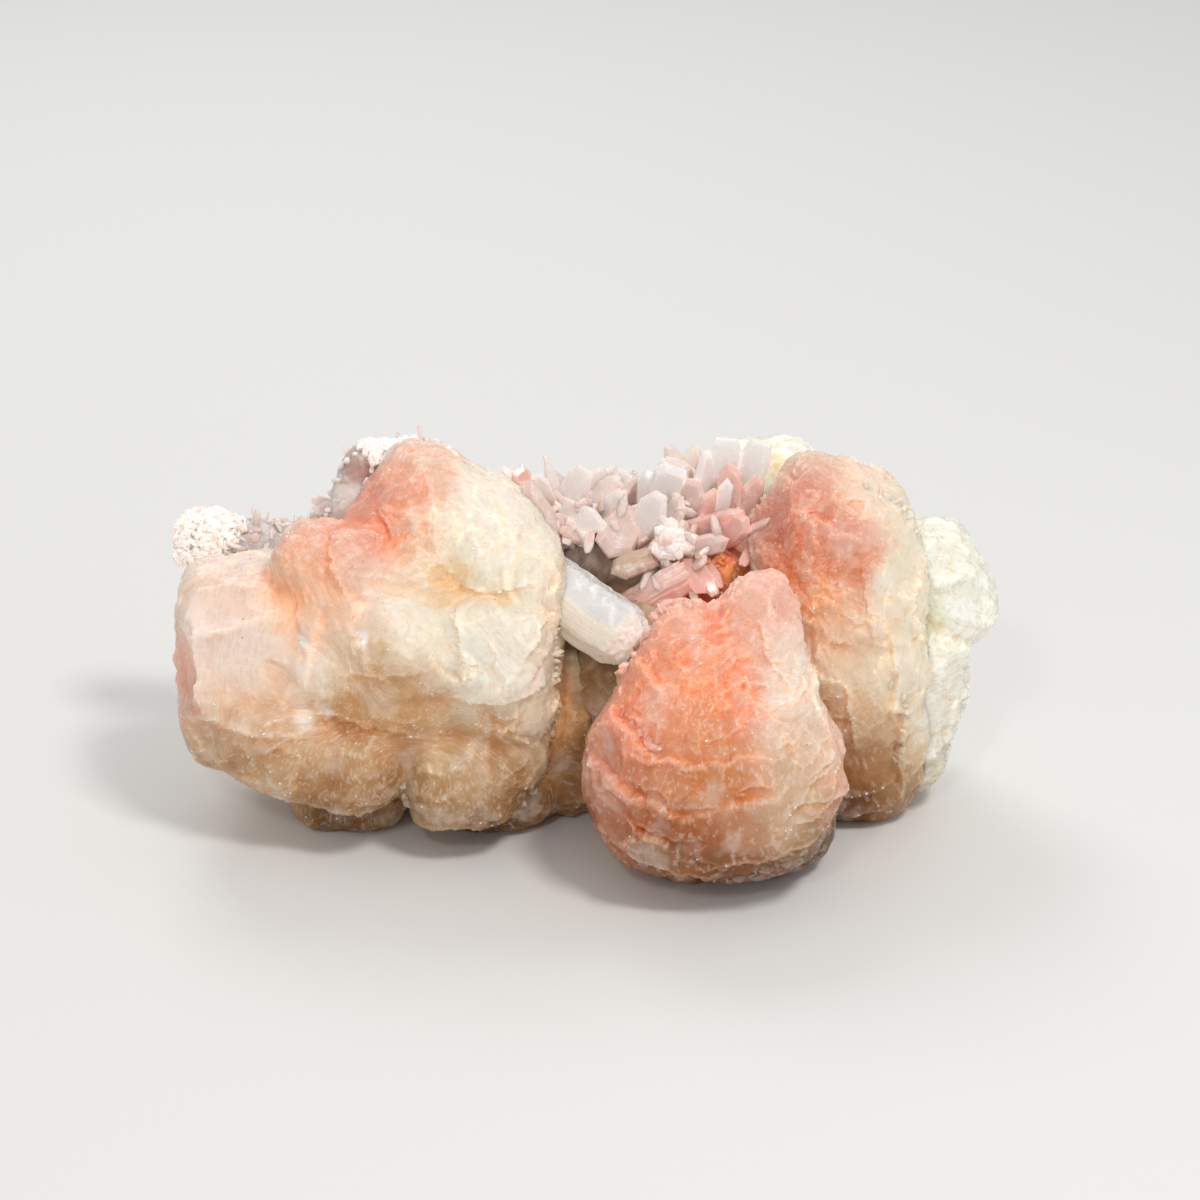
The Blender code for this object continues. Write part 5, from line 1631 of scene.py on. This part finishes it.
def rim_entries(ground, rims, seed):
    """Plates along the rims, each set into the sheaf at its nearest corner."""
    place, normal = places_of(ground)
    tree = KDTree(len(place))
    for index, spot in enumerate(place):
        tree.insert(spot, index)
    tree.balance()
    rng = np.random.default_rng(seed)
    entries = []
    for corners, centre, pitch, stand_out, deep in rims:
        corners = np.array(corners)
        lengths = np.linalg.norm(np.diff(corners, axis=0), axis=1)
        marks = np.concatenate([[0.0], np.cumsum(lengths)])
        mark = 0.0
        while mark < marks[-1]:
            wide = pitch * rng.uniform(0.4, 1.8)
            spot = [np.interp(mark + 0.5 * wide, marks, corners[:, axis]) for axis in range(3)]
            nearest = tree.find(spot)[1]
            up = normal[nearest]
            way = np.array(spot) - np.array(centre)
            way = way / np.linalg.norm(way) + rng.normal(size=3) * 0.10
            proud = stand_out * rng.uniform(0.1, 1.0)
            way = 0.7 * way + 0.6 * up
            way /= np.linalg.norm(way)
            tip = place[nearest] + way * proud
            entries.append((tuple(tip - way * PLATE_ROOT), tuple(tip), deep * rng.uniform(0.6, 1.2),
                            1.25 * wide, 90 + rng.normal() * 12, MILK))
            mark += wide
    return entries


def borrow_fields(obj, ground, paler):
    """Take the sheaf's own fields from its nearest corner, a little paler."""
    tree = KDTree(len(ground.data.vertices))
    for index, vert in enumerate(ground.data.vertices):
        tree.insert(vert.co, index)
    tree.balance()
    near = np.array([tree.find(vert.co)[1] for vert in obj.data.vertices])
    for name, slot, count in (("tint", "color", 4), ("fan", "vector", 3), ("reach", "value", 1),
                              ("dirt", "value", 1)):
        values = np.empty(len(ground.data.vertices) * count)
        ground.data.attributes[name].data.foreach_get(slot, values)
        values = values.reshape(-1, count)[near]
        if name == "tint":
            values = values * (1 - paler) + np.array(FREE_PLATE_WHITE) * paler
        set_field(obj, name, values)
    set_field(obj, "edge", np.full((len(near), 1), 0.5))


free_end = pearly("pearly free plate ends", depth=1.2, weight=0.7, gloss=0.30, hairs=0.0)
for ground, slot, rims, seed in (
        (left, "left_sheaf", LEFT_RIMS, 31), (front, "front_sheaf", FRONT_RIMS, 32),
        (right, "right_sheaf", RIGHT_RIMS, 33), (fan, "pale_fan", FAN_RIMS, 34)):
    frayed = blade_batch(ground.name + "_free_ends", rim_entries(ground, rims, seed))
    keep_above_floor(frayed, 0.1)
    borrow_fields(frayed, ground, FREE_PLATE_TONE)
    dress(frayed, free_end, slot, flat_above=25)


# Sparkle. Tiny broken plate ends of clear stilbite that stand out of the sheaves along their
# ledges, each with its own slant, so that one here and there glints.
GLINT_TAN = (0.96, 0.84, 0.70)
GLINT_WHITE = (0.99, 0.96, 0.91)


def glinting(name):
    material = bpy.data.materials.new(name)
    material.use_nodes = True
    make = node_maker(material.node_tree)
    shader = material.node_tree.nodes["Principled BSDF"]
    place = stretch(make, make("ShaderNodeTexCoord").outputs["Object"], 1 / MM)
    cloud = make("ShaderNodeTexNoise", {"Vector": place, "Scale": 1.4,
                                        "Detail": 2.0}).outputs["Fac"]
    colour = blend_colours(make, ramp_between(make, cloud, 0.4, 0.6), GLINT_TAN, GLINT_WHITE)
    material.node_tree.links.new(colour, shader.inputs["Base Color"])
    material.node_tree.links.new(ramp_between(make, cloud, 0.4, 0.65, 0.06, 0.20),
                                 shader.inputs["Roughness"])
    shader.inputs["IOR"].default_value = STILBITE_IOR
    shader.inputs["Coat Weight"].default_value = 0.4
    shader.inputs["Coat Roughness"].default_value = 0.05
    return material


glint = glinting("glinting plate ends")
for ground, slot, seed in ((left, "left_sheaf", 1), (front, "front_sheaf", 2),
                           (right, "right_sheaf", 3), (fan, "pale_fan", 4)):
    place, _ = places_of(ground)
    patches = smooth_step(ripple(place / 6.0, 60 + seed), 0.05, 0.45)
    ledges = read_field(ground, "edge") * (0.15 + 0.85 * patches)
    ledges *= smooth_step(place[:, 2], 1.0, 4.0)
    sparkle = sow(ground.name + "_glints", ground, ledges, FLAKE_SHAPES, glint, seed=seed,
                  spacing=0.6, density=0.5, sizes=(0.30, 0.70), lean=35, looks=(MILK, 0.20))
    dress(sparkle, glint, slot, flat_above=15)
